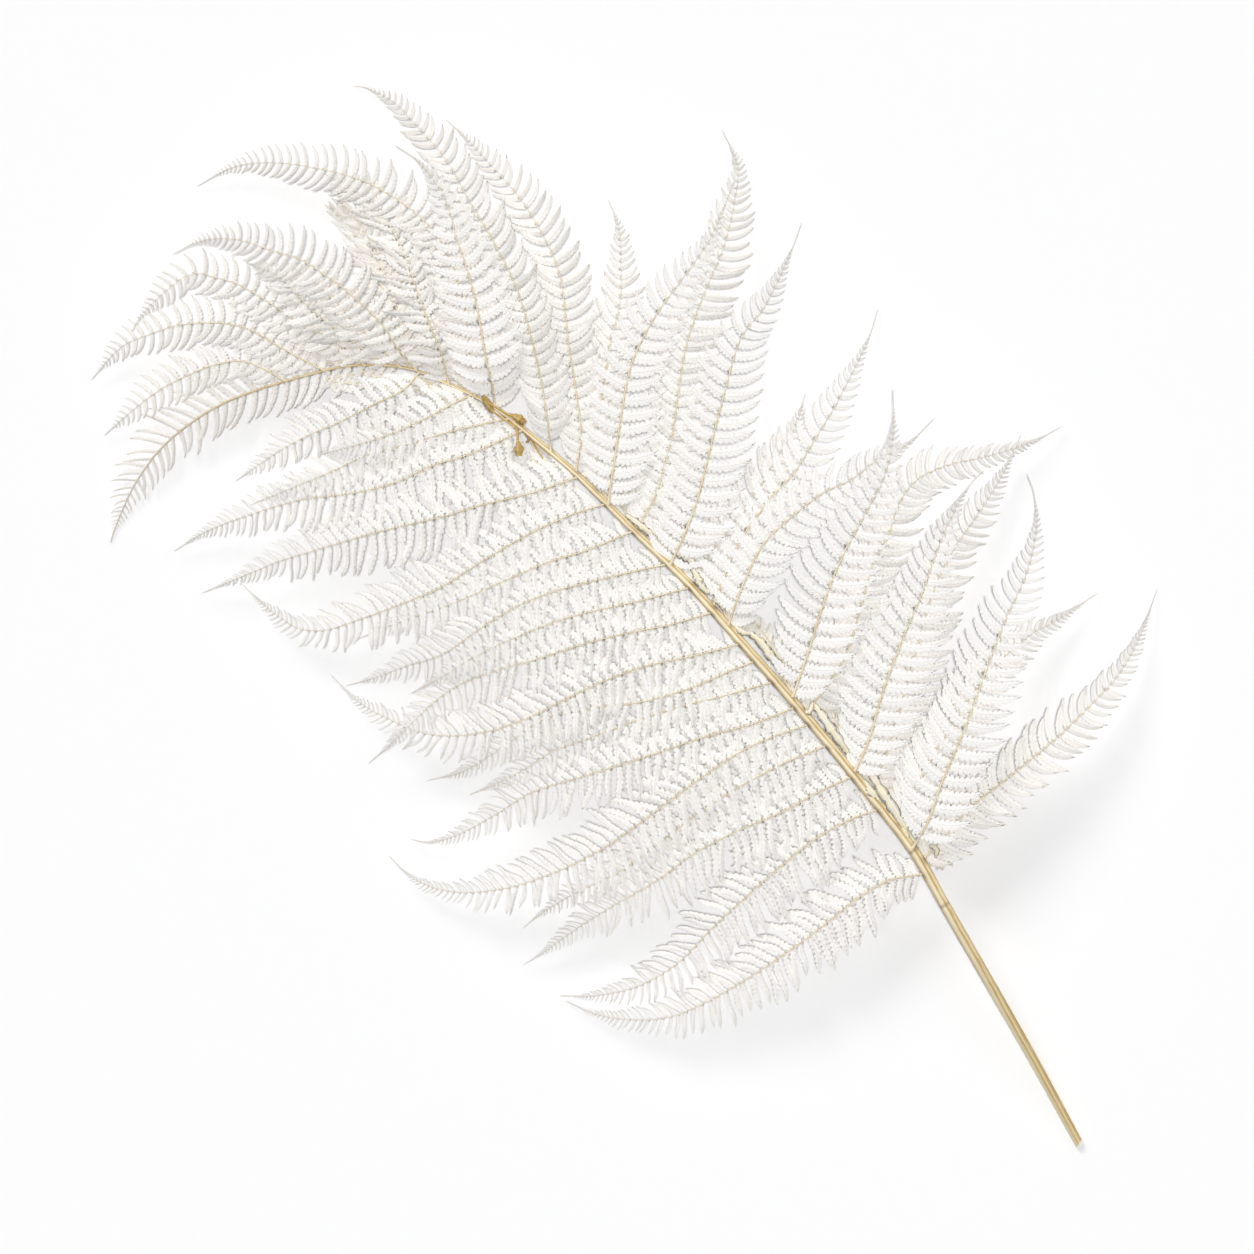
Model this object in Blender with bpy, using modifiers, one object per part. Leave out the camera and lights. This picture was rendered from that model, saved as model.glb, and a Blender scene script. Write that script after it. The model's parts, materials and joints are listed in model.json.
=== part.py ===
"""Bracken frond: one bleached, dried frond, picked and laid down on a flat surface.

A gold rachis carries white pinnae on both sides and runs out into a leafy end of its own.
Each pinna is one thin blade: a midrib with leaflets cut down to it. The frond runs along +Y
from its cut end to its tip, +Z is up, and it rests on z = 0 with its origin under the middle
of its box. Plan positions are pixels of a top view, and PIXEL is the real size of one pixel.
"""

import math
import random
from typing import NamedTuple

import bmesh
import bpy
import numpy as np
from mathutils import Vector
from mathutils.geometry import interpolate_bezier

MM = 0.001

# Plan view
PIXEL = 0.5 * MM
VIEW_CENTRE = (627.0, 627.0)
TURN = math.radians(40.0)
CURVE_STEPS = 24

# Rachis: line, thickness and height
RACHIS_PLAN = (
    (1083, 1150), (1031, 1055), (985, 975), (944, 904), (913, 850), (866, 790),
    (802, 712), (739, 640), (687, 582), (630, 527), (576, 474), (530, 435),
    (492, 406), (455, 387), (417, 371), (392, 366), (349, 366), (303, 376),
    (239, 396), (198, 417), (160, 448), (133, 485), (115, 524), (109, 542),
)
RACHIS_THICKNESS = (
    (0.00, 4.4 * MM), (0.12, 5.5 * MM), (0.20, 5.5 * MM), (0.31, 5.0 * MM),
    (0.48, 4.5 * MM), (0.57, 3.5 * MM), (0.64, 3.0 * MM), (0.69, 2.2 * MM),
    (0.73, 1.7 * MM), (0.77, 1.3 * MM), (1.00, 0.6 * MM),
)
TUBE_END = 0.742
TUBE_STEP = 14 * MM
TUBE_BEVEL_STEPS = 2
ARCH_HEIGHT = 36 * MM
ARCH_SKEW = 0.868
MERGE_DISTANCE = 0.001 * MM

# Cut end of the rachis, where it rests
CUT_END_HEIGHT = 1.5 * MM
CUT_END_EASE = 60 * MM
CUT_END_SLANT = math.radians(28)
CUT_END_TRIM = 2.5 * MM
CUTTER_SIZE = 40 * MM

# Pinna blades
BLADE_THICKNESS = 0.6 * MM
RIB_HALF_WIDTH = 0.8 * MM
RIB_TIP_HALF_WIDTH = 0.35 * MM
ROOT_GAP = 0.3 * MM
ROOT_SEARCH_SHARE = 0.25
ROOT_SEARCH_STEP = 0.05 * MM
ON_TOP_RISE = 1.0 * MM
BARE_RIB = 8 * MM
LEAFLET_SPACING = 11 * MM
TIP_SPACING_SHARE = 0.55
LEAST_END = 5 * MM
PINNA_BOW = 0.10

# Leaflets
ROOT_REACH = 0.5
ROOT_RUN = 25 * MM
TAPER_POWER = 2.2
TAPER_ROUND = 0.8
LEAN_AT_ROOT = math.radians(76)
LEAN_AT_TIP = math.radians(52)
LEAN_JITTER = math.radians(3)
LENGTH_JITTER = 0.07
SHOULDER_AT = 0.55
SHOULDER_BACK = 0.06
SHOULDERED_LENGTH = 12 * MM
CROWDING_SHARES = (0.5, 0.75, 1.0)
BEND_SHARE = 0.6
BEND_WINDOW = 6 * MM
ROOT_CLEAR = 9 * MM
SHORTENED = 0.85
DROOP = math.radians(10)

# Layers: how the pinnae lie over each other
MIDDLE_LAYER = 2
TILT_PER_LAYER = math.radians(4)
LEFT_TILT = math.radians(13)
END_TILT = math.radians(-10)
ROOT_OFFSET_SHARE = 0.3
LAYER_GAP = 0.8 * MM
LIFT_SLOPE = 0.45
ROOT_LIFT_SLOPE = 0.75
LIFT_STEP = 2 * MM
LIFT_SMOOTHING = 3
MAP_CELL = 1 * MM
MAP_HALF = 0.4
SAMPLES_PER_EDGE = 16

SEED = 11
RIGHT = -1
LEFT = 1


class Pinna(NamedTuple):
    """One side branch: its side, layer (0 lies lowest), leaflet length, tip height and line."""

    name: str
    side: int
    layer: float
    leaflet: float
    tip_height: float
    plan: tuple


RIGHT_PINNAE = (
    Pinna("pinna_right_01", RIGHT, 0, 20, 0, (
        (922, 860), (946, 835), (968, 809), (1009, 776), (1055, 739), (1089, 707),
        (1119, 675), (1142, 634), (1159, 589))),
    Pinna("pinna_right_02", RIGHT, 3, 24, 6, (
        (912, 848), (925, 826), (940, 784), (964, 727), (984, 674), (1006, 618),
        (1026, 575), (1037, 530), (1035, 495), (1028, 474))),
    Pinna("pinna_right_03", RIGHT, 0.4, 20, 2, (
        (895, 828), (930, 760), (975, 690), (1025, 639), (1060, 619), (1099, 593))),
    Pinna("pinna_right_04", RIGHT, 0.2, 20, 1, (
        (872, 797), (905, 690), (930, 600), (954, 549), (975, 519), (999, 482),
        (1016, 449), (1022, 434))),
    Pinna("pinna_right_05", RIGHT, 3, 24, 7, (
        (854, 771), (867, 743), (881, 695), (900, 643), (921, 594), (936, 552),
        (952, 515), (971, 484), (985, 470))),
    Pinna("pinna_right_06", RIGHT, 1, 18, 3, (
        (805, 712), (822, 692), (845, 655), (859, 612), (872, 565), (888, 535),
        (897, 508), (912, 484), (942, 467), (988, 456), (1032, 442), (1063, 426))),
    Pinna("pinna_right_08", RIGHT, 4, 25, 8, (
        (792, 697), (808, 651), (825, 597), (843, 554), (863, 517), (884, 476),
        (893, 436), (893, 389))),
    Pinna("pinna_right_09", RIGHT, 2, 20, 4, (
        (728, 625), (744, 581), (764, 543), (795, 514), (823, 493), (852, 479),
        (881, 457), (908, 444), (935, 418))),
    Pinna("pinna_right_10", RIGHT, 1, 20, 0, (
        (712, 609), (735, 550), (765, 505), (795, 471), (815, 439), (839, 399),
        (869, 338), (879, 308))),
    Pinna("pinna_right_11", RIGHT, 1, 18, 3, (
        (692, 587), (701, 570), (717, 543), (741, 515), (760, 486), (779, 455),
        (796, 426), (806, 393))),
    Pinna("pinna_right_12", RIGHT, 3, 24, 7, (
        (670, 565), (686, 530), (698, 496), (712, 440), (725, 390), (741, 338),
        (765, 306), (793, 247), (802, 222))),
    Pinna("pinna_right_13", RIGHT, 1, 20, 0, (
        (635, 531), (655, 496), (671, 441), (678, 394), (686, 347), (700, 304),
        (726, 239), (739, 171), (735, 155), (722, 128))),
    Pinna("pinna_right_14", RIGHT, 3, 22, 6, (
        (608, 505), (614, 464), (622, 410), (632, 363), (655, 317), (686, 274),
        (710, 239), (735, 180))),
    Pinna("pinna_right_15", RIGHT, 0, 18, 1, (
        (594, 492), (600, 420), (610, 345), (620, 303), (621, 269), (619, 228),
        (608, 198))),
    Pinna("pinna_right_16", RIGHT, 1, 18, 3, (
        (576, 474), (581, 437), (576, 392), (569, 346), (561, 282), (550, 249),
        (522, 201), (494, 168), (465, 136), (445, 118))),
    Pinna("pinna_right_17", RIGHT, 1.5, 16, 0, (
        (551, 452), (548, 424), (542, 386), (534, 349), (518, 292), (494, 243),
        (473, 208), (446, 160), (411, 119), (392, 100), (367, 87), (352, 84))),
    Pinna("pinna_right_18", RIGHT, 4, 22, 7, (
        (495, 408), (494, 396), (486, 357), (478, 311), (468, 272), (457, 240), (449, 210),
        (439, 188), (419, 162), (395, 145))),
    Pinna("pinna_right_19", RIGHT, 1, 18, 2, (
        (475, 396), (465, 310), (448, 255), (428, 226), (400, 202), (360, 180),
        (312, 167), (270, 162), (233, 166), (196, 185))),
    Pinna("pinna_right_20", RIGHT, 1, 17, 5, (
        (449, 384), (441, 352), (431, 328), (417, 290), (408, 262), (396, 236),
        (375, 205), (345, 184), (322, 172))),
    Pinna("pinna_right_21", RIGHT, 1, 17, 6, (
        (417, 371), (400, 352), (382, 325), (352, 296), (331, 280), (302, 261),
        (271, 251), (239, 240), (204, 240), (172, 254))),
    Pinna("pinna_right_22", RIGHT, 1, 13, 6, (
        (401, 368), (378, 346), (358, 326), (336, 302), (310, 281), (285, 262))),
    Pinna("pinna_right_23", RIGHT, 1, 12, 5, (
        (386, 366), (358, 346), (325, 321), (309, 307), (295, 293), (281, 278),
        (245, 262))),
    Pinna("pinna_right_24", RIGHT, 1, 15, 5, (
        (366, 366), (328, 338), (302, 325), (271, 304), (239, 285), (217, 278),
        (192, 274), (163, 293), (141, 316), (131, 332))),
    Pinna("pinna_right_25", RIGHT, 1, 16, 4, (
        (325, 371), (300, 358), (278, 346), (250, 330), (219, 323), (179, 325),
        (149, 334), (120, 347), (90, 379))),
    Pinna("pinna_right_26", RIGHT, 1, 14, 3, (
        (285, 381), (262, 368), (240, 361), (217, 364), (192, 373), (160, 389),
        (128, 413), (103, 435))),
)

LEFT_PINNAE = (
    Pinna("pinna_left_01", LEFT, 2, 15, 5, (
        (420, 372), (404, 390), (372, 406), (341, 422), (304, 438), (276, 453),
        (234, 481))),
    Pinna("pinna_left_02", LEFT, 2, 16, 6, (
        (472, 395), (452, 405), (424, 420), (390, 435), (355, 446), (320, 455))),
    Pinna("pinna_left_03", LEFT, 2, 19, 5, (
        (509, 419), (463, 429), (433, 437), (404, 446), (369, 455), (336, 470),
        (290, 489), (250, 505))),
    Pinna("pinna_left_04", LEFT, 2, 23, 4, (
        (524, 430), (471, 454), (433, 466), (392, 484), (355, 493), (301, 500),
        (246, 516), (204, 532), (173, 551))),
    Pinna("pinna_left_05", LEFT, 2, 23, 5, (
        (579, 477), (536, 492), (480, 506), (439, 518), (399, 527), (350, 540),
        (310, 552), (283, 560), (240, 577), (201, 593))),
    Pinna("pinna_left_06", LEFT, 2, 23, 0, (
        (606, 504), (569, 516), (528, 535), (480, 563), (442, 587), (402, 604),
        (358, 620), (326, 630), (300, 629), (280, 618), (262, 604), (241, 584))),
    Pinna("pinna_left_07", LEFT, 2, 23, 4, (
        (634, 531), (588, 550), (544, 564), (480, 592), (444, 607), (400, 622),
        (355, 640))),
    Pinna("pinna_left_08", LEFT, 2, 23, 4, (
        (668, 564), (598, 580), (547, 594), (512, 609), (480, 629), (443, 654),
        (404, 667), (374, 678), (345, 686))),
    Pinna("pinna_left_09", LEFT, 2, 23, 4, (
        (692, 587), (639, 601), (582, 614), (544, 626), (512, 639), (480, 654),
        (445, 675), (410, 694))),
    Pinna("pinna_left_10", LEFT, 2, 23, 5, (
        (714, 612), (668, 625), (623, 634), (584, 644), (544, 657), (499, 670),
        (463, 683), (438, 699), (409, 726), (384, 750), (368, 764))),
    Pinna("pinna_left_11", LEFT, 2, 23, 0, (
        (742, 643), (697, 655), (646, 666), (604, 681), (568, 698), (528, 718),
        (490, 731), (452, 736), (419, 732), (388, 719), (358, 702), (330, 675))),
    Pinna("pinna_left_12", LEFT, 2, 21, 4, (
        (757, 660), (727, 672), (690, 688), (640, 702), (580, 710), (547, 718),
        (517, 737), (488, 757), (460, 773), (427, 781))),
    Pinna("pinna_left_13", LEFT, 2, 23, 3, (
        (775, 681), (722, 696), (681, 706), (631, 722), (584, 740), (553, 751),
        (528, 767), (500, 782), (470, 795))),
    Pinna("pinna_left_14", LEFT, 2, 23, 4, (
        (797, 706), (754, 723), (703, 737), (647, 756), (584, 776), (531, 793),
        (495, 815), (460, 834), (430, 843), (410, 840))),
    Pinna("pinna_left_15", LEFT, 2, 23, 0, (
        (811, 723), (750, 746), (700, 778), (650, 815), (608, 845), (570, 866),
        (540, 878), (512, 887), (468, 893), (432, 888), (406, 874), (388, 856))),
    Pinna("pinna_left_16", LEFT, 2, 23, 3, (
        (829, 744), (785, 762), (740, 786), (695, 815), (655, 846), (619, 872),
        (576, 893), (540, 915), (523, 929))),
    Pinna("pinna_left_17", LEFT, 2, 23, 3, (
        (854, 775), (815, 793), (783, 811), (736, 831), (691, 855), (656, 881),
        (608, 909), (571, 933), (539, 956), (523, 966))),
    Pinna("pinna_left_18", LEFT, 2, 23, 2, (
        (881, 808), (855, 817), (823, 833), (791, 857), (751, 892), (712, 928),
        (678, 963), (637, 987), (592, 997), (560, 997))),
    Pinna("pinna_left_19", LEFT, 2, 21, 0, (
        (926, 873), (889, 880), (860, 896), (817, 930), (759, 971), (711, 1000),
        (668, 1018), (624, 1020), (592, 1014), (566, 1002))),
)

END_PINNA = Pinna("pinna_end", RIGHT, 0, 20, 0, RACHIS_PLAN)

# Dried stubs on the rachis: pixel, height over the rachis line and thickness of each point,
# the last two in millimetres
STUB_STEPS = 2
DRIED_STUBS = (
    ((477, 399, 0.2, 1.8), (482, 399, 1.0, 3.2), (487, 400, 3.4, 1.8), (495, 404, 4.0, 1.4),
     (503, 409, 3.7, 1.4), (513, 415, 3.0, 1.6), (522, 420, 2.8, 4.2), (527, 424, 2.4, 3.0)),
    ((479, 400, 0.2, 1.6), (484, 406, 0.0, 3.0), (487, 410, 0.4, 2.2)),
    ((522, 428, 1.2, 1.8), (519, 436, 3.0, 1.4), (518, 444, 3.4, 2.0), (518, 451, 3.0, 4.2),
     (518, 456, 2.6, 2.6)),
    ((536, 441, 0.6, 1.6), (532, 446, 1.8, 1.4), (527, 449, 2.6, 1.2)),
)

# Colours, linear, and roughness
STRAW = (0.62, 0.40, 0.15)
STRAW_ROUGHNESS = 0.5
BLEACHED = (0.86, 0.84, 0.81)
BLEACHED_ROUGHNESS = 0.85


def clear_scene():
    """Remove every object that the file starts with."""
    for item in list(bpy.data.objects):
        bpy.data.objects.remove(item, do_unlink=True)


def new_collection(name):
    """Add a collection to the scene."""
    group = bpy.data.collections.new(name)
    bpy.context.scene.collection.children.link(group)
    return group


def finish_material(name, colour, roughness):
    """Make a plain Principled material."""
    material = bpy.data.materials.new(name)
    material.use_nodes = True
    shader = material.node_tree.nodes["Principled BSDF"]
    shader.inputs["Base Color"].default_value = (*colour, 1.0)
    shader.inputs["Roughness"].default_value = roughness
    shader.inputs["Metallic"].default_value = 0.0
    return material


def plan_point(pixel):
    """Turn a pixel of the top view into metres, with the frond running along +Y."""
    x = (pixel[0] - VIEW_CENTRE[0]) * PIXEL
    y = (VIEW_CENTRE[1] - pixel[1]) * PIXEL
    turned_x = x * math.cos(TURN) + y * math.sin(TURN)
    turned_y = y * math.cos(TURN) - x * math.sin(TURN)
    return Vector((turned_x, turned_y, 0.0))


class Line:
    """A smooth line through plan points, read by its distance from the start."""

    def __init__(self, points):
        before = [points[0]] + points[:-1]
        after = points[1:] + [points[-1]]
        headings = [(b - a).normalized() for a, b in zip(before, after)]
        fine = []
        for i in range(len(points) - 1):
            reach = (points[i + 1] - points[i]).length / 3
            piece = interpolate_bezier(
                points[i], points[i] + headings[i] * reach,
                points[i + 1] - headings[i + 1] * reach, points[i + 1], CURVE_STEPS)
            fine.extend(piece[:-1])
        fine.append(points[-1])
        self.xy = np.array([(p.x, p.y) for p in fine])
        steps = np.diff(self.xy, axis=0)
        self.run = np.concatenate(([0.0], np.cumsum(np.hypot(steps[:, 0], steps[:, 1]))))
        self.length = float(self.run[-1])
        turned = np.unwrap(np.arctan2(steps[:, 1], steps[:, 0]))
        self.middle = (self.run[1:] + self.run[:-1]) / 2
        self.angle = turned

    def point(self, distance):
        """Plan position at a distance along the line."""
        x = float(np.interp(distance, self.run, self.xy[:, 0]))
        y = float(np.interp(distance, self.run, self.xy[:, 1]))
        return Vector((x, y, 0.0))

    def heading(self, distance):
        """Direction of the line, as an angle, at a distance along it."""
        return float(np.interp(distance, self.middle, self.angle))

    def bend(self, distance):
        """How fast the line turns there, in radians a metre, left turns positive."""
        ahead = self.heading(min(distance + BEND_WINDOW, self.length))
        behind = self.heading(max(distance - BEND_WINDOW, 0.0))
        return (ahead - behind) / (2 * BEND_WINDOW)

    def nearest(self, point):
        """Distance along the line of its nearest point, and how far off that is."""
        gaps = np.hypot(self.xy[:, 0] - point.x, self.xy[:, 1] - point.y)
        best = int(np.argmin(gaps))
        return float(self.run[best]), float(gaps[best])


class Rachis(Line):
    """The stem's line, with its height and thickness."""

    def height(self, distance):
        """Height of the stem's middle over the surface."""
        share = distance / self.length
        arch = ARCH_HEIGHT * math.sin(math.pi * share ** ARCH_SKEW)
        ease = 1 - math.exp(-distance / CUT_END_EASE)
        return CUT_END_HEIGHT * (1 - share) + arch * ease

    def radius(self, distance):
        """Half the stem's thickness."""
        shares, widths = zip(*RACHIS_THICKNESS)
        return float(np.interp(distance / self.length, shares, widths)) / 2

    def place(self, distance):
        """Middle of the stem, in space."""
        spot = self.point(distance)
        spot.z = self.height(distance)
        return spot


class Blade:
    """The middle surface of one pinna: its points, their station on the midrib, its triangles."""

    def __init__(self, name):
        self.name = name
        self.points = []
        self.stations = []
        self.triangles = []

    def add(self, point, station):
        """Add a point that rides on the midrib at a station."""
        self.points.append(point)
        self.stations.append(station)
        return len(self.points) - 1

    def fill(self, corners, side):
        """Add a triangle that faces up, given its corners as they run on the left side."""
        self.triangles.append(corners if side == LEFT else corners[::-1])


class HeightMap:
    """The highest surface laid so far over each small square of the plan."""

    def __init__(self):
        cells = int(round(2 * MAP_HALF / MAP_CELL))
        self.top = np.full((cells, cells), -1.0)

    def squares(self, points):
        """The map squares that hold the points."""
        found = np.floor((points[:, :2] + MAP_HALF) / MAP_CELL).astype(int)
        return found[:, 0], found[:, 1]

    def under(self, points):
        """Height of what lies under each point."""
        across, along = self.squares(points)
        return self.top[across, along]

    def lay(self, points):
        """Add a surface, widened by one square all round."""
        across, along = self.squares(points)
        for shift_x in (-1, 0, 1):
            for shift_y in (-1, 0, 1):
                np.maximum.at(self.top, (across + shift_x, along + shift_y), points[:, 2])


def rib_half_width(share):
    """Half the width of a midrib at a share of its length."""
    return RIB_HALF_WIDTH + (RIB_TIP_HALF_WIDTH - RIB_HALF_WIDTH) * share


def leaflet_reach(distance, length, longest):
    """Length of the leaflets at a distance along a pinna."""
    share = distance / length
    swell = min(1.0, ROOT_REACH + (1 - ROOT_REACH) * distance / ROOT_RUN)
    return longest * swell * (1 - share ** TAPER_POWER) ** TAPER_ROUND


def leaflet_stations(start, length, longest):
    """Distances of the notches between leaflets, closer together towards the tip."""
    stations = []
    distance = start + BARE_RIB
    while distance < length - LEAST_END:
        stations.append(distance)
        fullness = leaflet_reach(distance, length, longest) / longest
        share = TIP_SPACING_SHARE + (1 - TIP_SPACING_SHARE) * min(1.0, fullness)
        distance += LEAFLET_SPACING * share
    return stations


def crowds_a_root(start, tip, roots):
    """Whether a leaflet reaches over the root of another pinna."""
    for share in CROWDING_SHARES:
        spot = start.lerp(tip, share)
        spot.z = 0.0
        if any((spot - root).length < ROOT_CLEAR for root in roots):
            return True
    return False


def side_tilt(pinna, side):
    """Upward slope of the leaflets on one side of a pinna."""
    if pinna is END_PINNA:
        return END_TILT
    if pinna.side == LEFT:
        return LEFT_TILT if side == LEFT else -LEFT_TILT
    return TILT_PER_LAYER * (pinna.layer - MIDDLE_LAYER)


def pinna_start(line, rachis, length):
    """Distance along a pinna's line where its midrib is just clear of the rachis."""
    distance = 0.0
    while distance < length * ROOT_SEARCH_SHARE:
        middle = line.point(distance)
        angle = line.heading(distance)
        across = Vector((-math.sin(angle), math.cos(angle), 0.0)) * RIB_HALF_WIDTH
        clear = True
        for corner in (middle + across, middle - across):
            along, gap = rachis.nearest(corner)
            clear = clear and gap >= rachis.radius(along) + ROOT_GAP
        if clear:
            break
        distance += ROOT_SEARCH_STEP
    return distance


def pinna_heights(pinna, rachis, line):
    """Function that gives a pinna's midrib height, and where the midrib starts."""
    if pinna is END_PINNA:
        begin = rachis.length * TUBE_END + ROOT_GAP
        return rachis.height, begin
    root, _ = rachis.nearest(line.point(0.0))
    on_top = root > rachis.length * TUBE_END
    begin = 0.0 if on_top else pinna_start(line, rachis, line.length)
    offset = ROOT_OFFSET_SHARE * rachis.radius(root) * (pinna.layer - MIDDLE_LAYER)
    root_height = rachis.height(root) + (ON_TOP_RISE if on_top else offset)
    tip_height = pinna.tip_height * MM + BLADE_THICKNESS / 2

    def height(distance):
        share = distance / line.length
        bow = PINNA_BOW * line.length * share * (1 - share)
        return root_height + (tip_height - root_height) * share ** 2 + bow

    return height, begin


def blade_surface(pinna, rachis, draw):
    """Lay out one pinna's midrib and leaflets, before it is lifted over its neighbours."""
    line = rachis if pinna is END_PINNA else Line([plan_point(p) for p in pinna.plan])
    height, begin = pinna_heights(pinna, rachis, line)
    length = line.length
    longest = pinna.leaflet * MM
    blade = Blade(pinna.name)
    others = [other for other in LEFT_PINNAE + RIGHT_PINNAE if other is not pinna]
    roots = [plan_point(other.plan[0]) for other in others]

    def rib_point(distance, side):
        angle = line.heading(distance)
        share = (distance - begin) / (length - begin)
        across = Vector((-math.sin(angle), math.cos(angle), 0.0)) * side
        point = line.point(distance) + across * rib_half_width(share)
        point.z = height(distance)
        return blade.add(point, distance)

    def leaflet(first, second, distance, spacing, side):
        reach = leaflet_reach(distance - begin, length - begin, longest)
        reach *= 1 + draw.uniform(-LENGTH_JITTER, LENGTH_JITTER)
        bend = line.bend(distance) * side
        if bend > 0:
            reach = min(reach, BEND_SHARE / bend)
        share = (distance - begin) / (length - begin)
        lean = LEAN_AT_ROOT + (LEAN_AT_TIP - LEAN_AT_ROOT) * share
        lean += draw.uniform(-LEAN_JITTER, LEAN_JITTER)
        angle = line.heading(distance)
        forward = Vector((math.cos(angle), math.sin(angle), 0.0))
        outward = Vector((math.cos(angle + lean * side), math.sin(angle + lean * side), 0.0))
        tilt = side_tilt(pinna, side)
        root = (blade.points[first] + blade.points[second]) / 2
        while reach > LEAST_END and crowds_a_root(root, root + outward * reach, roots):
            reach *= SHORTENED
        rise = math.tan(tilt) * math.sin(lean)
        fall = math.tan(DROOP) * math.sin(lean)
        tip = root + outward * reach
        tip.z += reach * (rise - fall * (1 - SHOULDER_AT))
        tip = blade.add(tip, distance + spacing / 2)
        if reach < SHOULDERED_LENGTH:
            blade.fill((first, second, tip), side)
            return
        shoulder = blade.points[first] + outward * reach * SHOULDER_AT
        shoulder -= forward * spacing * SHOULDER_BACK
        shoulder.z += reach * SHOULDER_AT * rise
        shoulder = blade.add(shoulder, distance)
        blade.fill((first, second, shoulder), side)
        blade.fill((shoulder, second, tip), side)

    left = rib_point(begin, LEFT)
    right = rib_point(begin, RIGHT)
    previous = begin
    stations = leaflet_stations(begin, length, longest)
    for i, distance in enumerate(stations):
        next_left = rib_point(distance, LEFT)
        next_right = rib_point(distance, RIGHT)
        blade.triangles.append((left, right, next_right))
        blade.triangles.append((left, next_right, next_left))
        if i > 0:
            spacing = distance - previous
            leaflet(left, next_left, previous, spacing, LEFT)
            leaflet(right, next_right, previous, spacing, RIGHT)
        left, right, previous = next_left, next_right, distance
    end = line.point(length)
    end.z = height(length)
    blade.triangles.append((left, right, blade.add(end, length)))
    return blade, begin, length


def surface_samples(blade, heights):
    """Points spread over every triangle of a blade, and the station each rides on."""
    count = SAMPLES_PER_EDGE
    weights = np.array([(i, j, count - i - j)
                        for i in range(count + 1) for j in range(count + 1 - i)]) / count
    corners = np.array(blade.triangles)
    points = np.array([(p.x, p.y, z) for p, z in zip(blade.points, heights)])
    spread = np.einsum("wc,tcd->twd", weights, points[corners]).reshape(-1, 3)
    stations = np.array(blade.stations)
    ride = np.einsum("wc,tc->tw", weights, stations[corners]).reshape(-1)
    return spread, ride


def lift_profile(blade, laid, begin, length):
    """How far the midrib is raised along its length to clear what already lies under it."""
    heights = [p.z for p in blade.points]
    samples, ride = surface_samples(blade, heights)
    need = laid.under(samples) + BLADE_THICKNESS + LAYER_GAP - samples[:, 2]
    grid = np.arange(0.0, length + 2 * LIFT_STEP, LIFT_STEP)
    wanted = np.zeros(len(grid))
    slots = np.clip(np.round(ride / LIFT_STEP).astype(int), 0, len(grid) - 1)
    for shift in (-1, 0, 1):
        np.maximum.at(wanted, np.clip(slots + shift, 0, len(grid) - 1), need)
    apart = np.abs(grid[:, None] - grid[None, :])
    eased = np.max(wanted[None, :] - LIFT_SLOPE * apart, axis=1)
    window = 2 * LIFT_SMOOTHING + 1
    padded = np.pad(eased, LIFT_SMOOTHING, mode="edge")
    widest = np.array([padded[i:i + window].max() for i in range(len(grid))])
    padded = np.pad(widest, LIFT_SMOOTHING, mode="edge")
    smooth = np.array([padded[i:i + window].mean() for i in range(len(grid))])
    limit = ROOT_LIFT_SLOPE * np.maximum(grid - begin, 0.0)
    return grid, np.minimum(np.maximum(smooth, 0.0), limit)


def settle_blade(blade, laid, begin, length, fixed):
    """Raise a blade over those below it, keep it off the surface and add it to the map."""
    if not fixed:
        grid, lift = lift_profile(blade, laid, begin, length)
        for point, station in zip(blade.points, blade.stations):
            point.z += float(np.interp(station, grid, lift))
    for point in blade.points:
        point.z = max(point.z, BLADE_THICKNESS / 2)
    samples, _ = surface_samples(blade, [p.z for p in blade.points])
    laid.lay(samples)


def blade_object(blade, group, material):
    """Make a blade's surface an object and give it its thickness."""
    mesh = bpy.data.meshes.new(blade.name)
    shape = bmesh.new()
    corners = [shape.verts.new(point) for point in blade.points]
    for triangle in blade.triangles:
        shape.faces.new([corners[i] for i in triangle])
    shape.to_mesh(mesh)
    shape.free()
    mesh.materials.append(material)
    item = bpy.data.objects.new(blade.name, mesh)
    group.objects.link(item)
    wall = item.modifiers.new("thickness", "SOLIDIFY")
    wall.thickness = BLADE_THICKNESS
    wall.offset = 0.0
    return item


def lay_order(pinna):
    """Left pinnae are laid from the cut end on, right ones by layer and from the tip on."""
    if pinna.side == LEFT:
        return (0, -LEFT_PINNAE.index(pinna))
    return (1 + pinna.layer, -RIGHT_PINNAE.index(pinna))


def make_pinnae(rachis, group, material):
    """Lay the frond's leafy end and then every pinna, lowest first, each over the last."""
    laid = HeightMap()
    items = []
    for pinna in [END_PINNA] + sorted(LEFT_PINNAE + RIGHT_PINNAE, key=lay_order):
        draw = random.Random(f"{SEED} {pinna.name}")
        blade, begin, length = blade_surface(pinna, rachis, draw)
        settle_blade(blade, laid, begin, length, fixed=pinna is END_PINNA)
        items.append(blade_object(blade, group, material))
    return items


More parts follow.
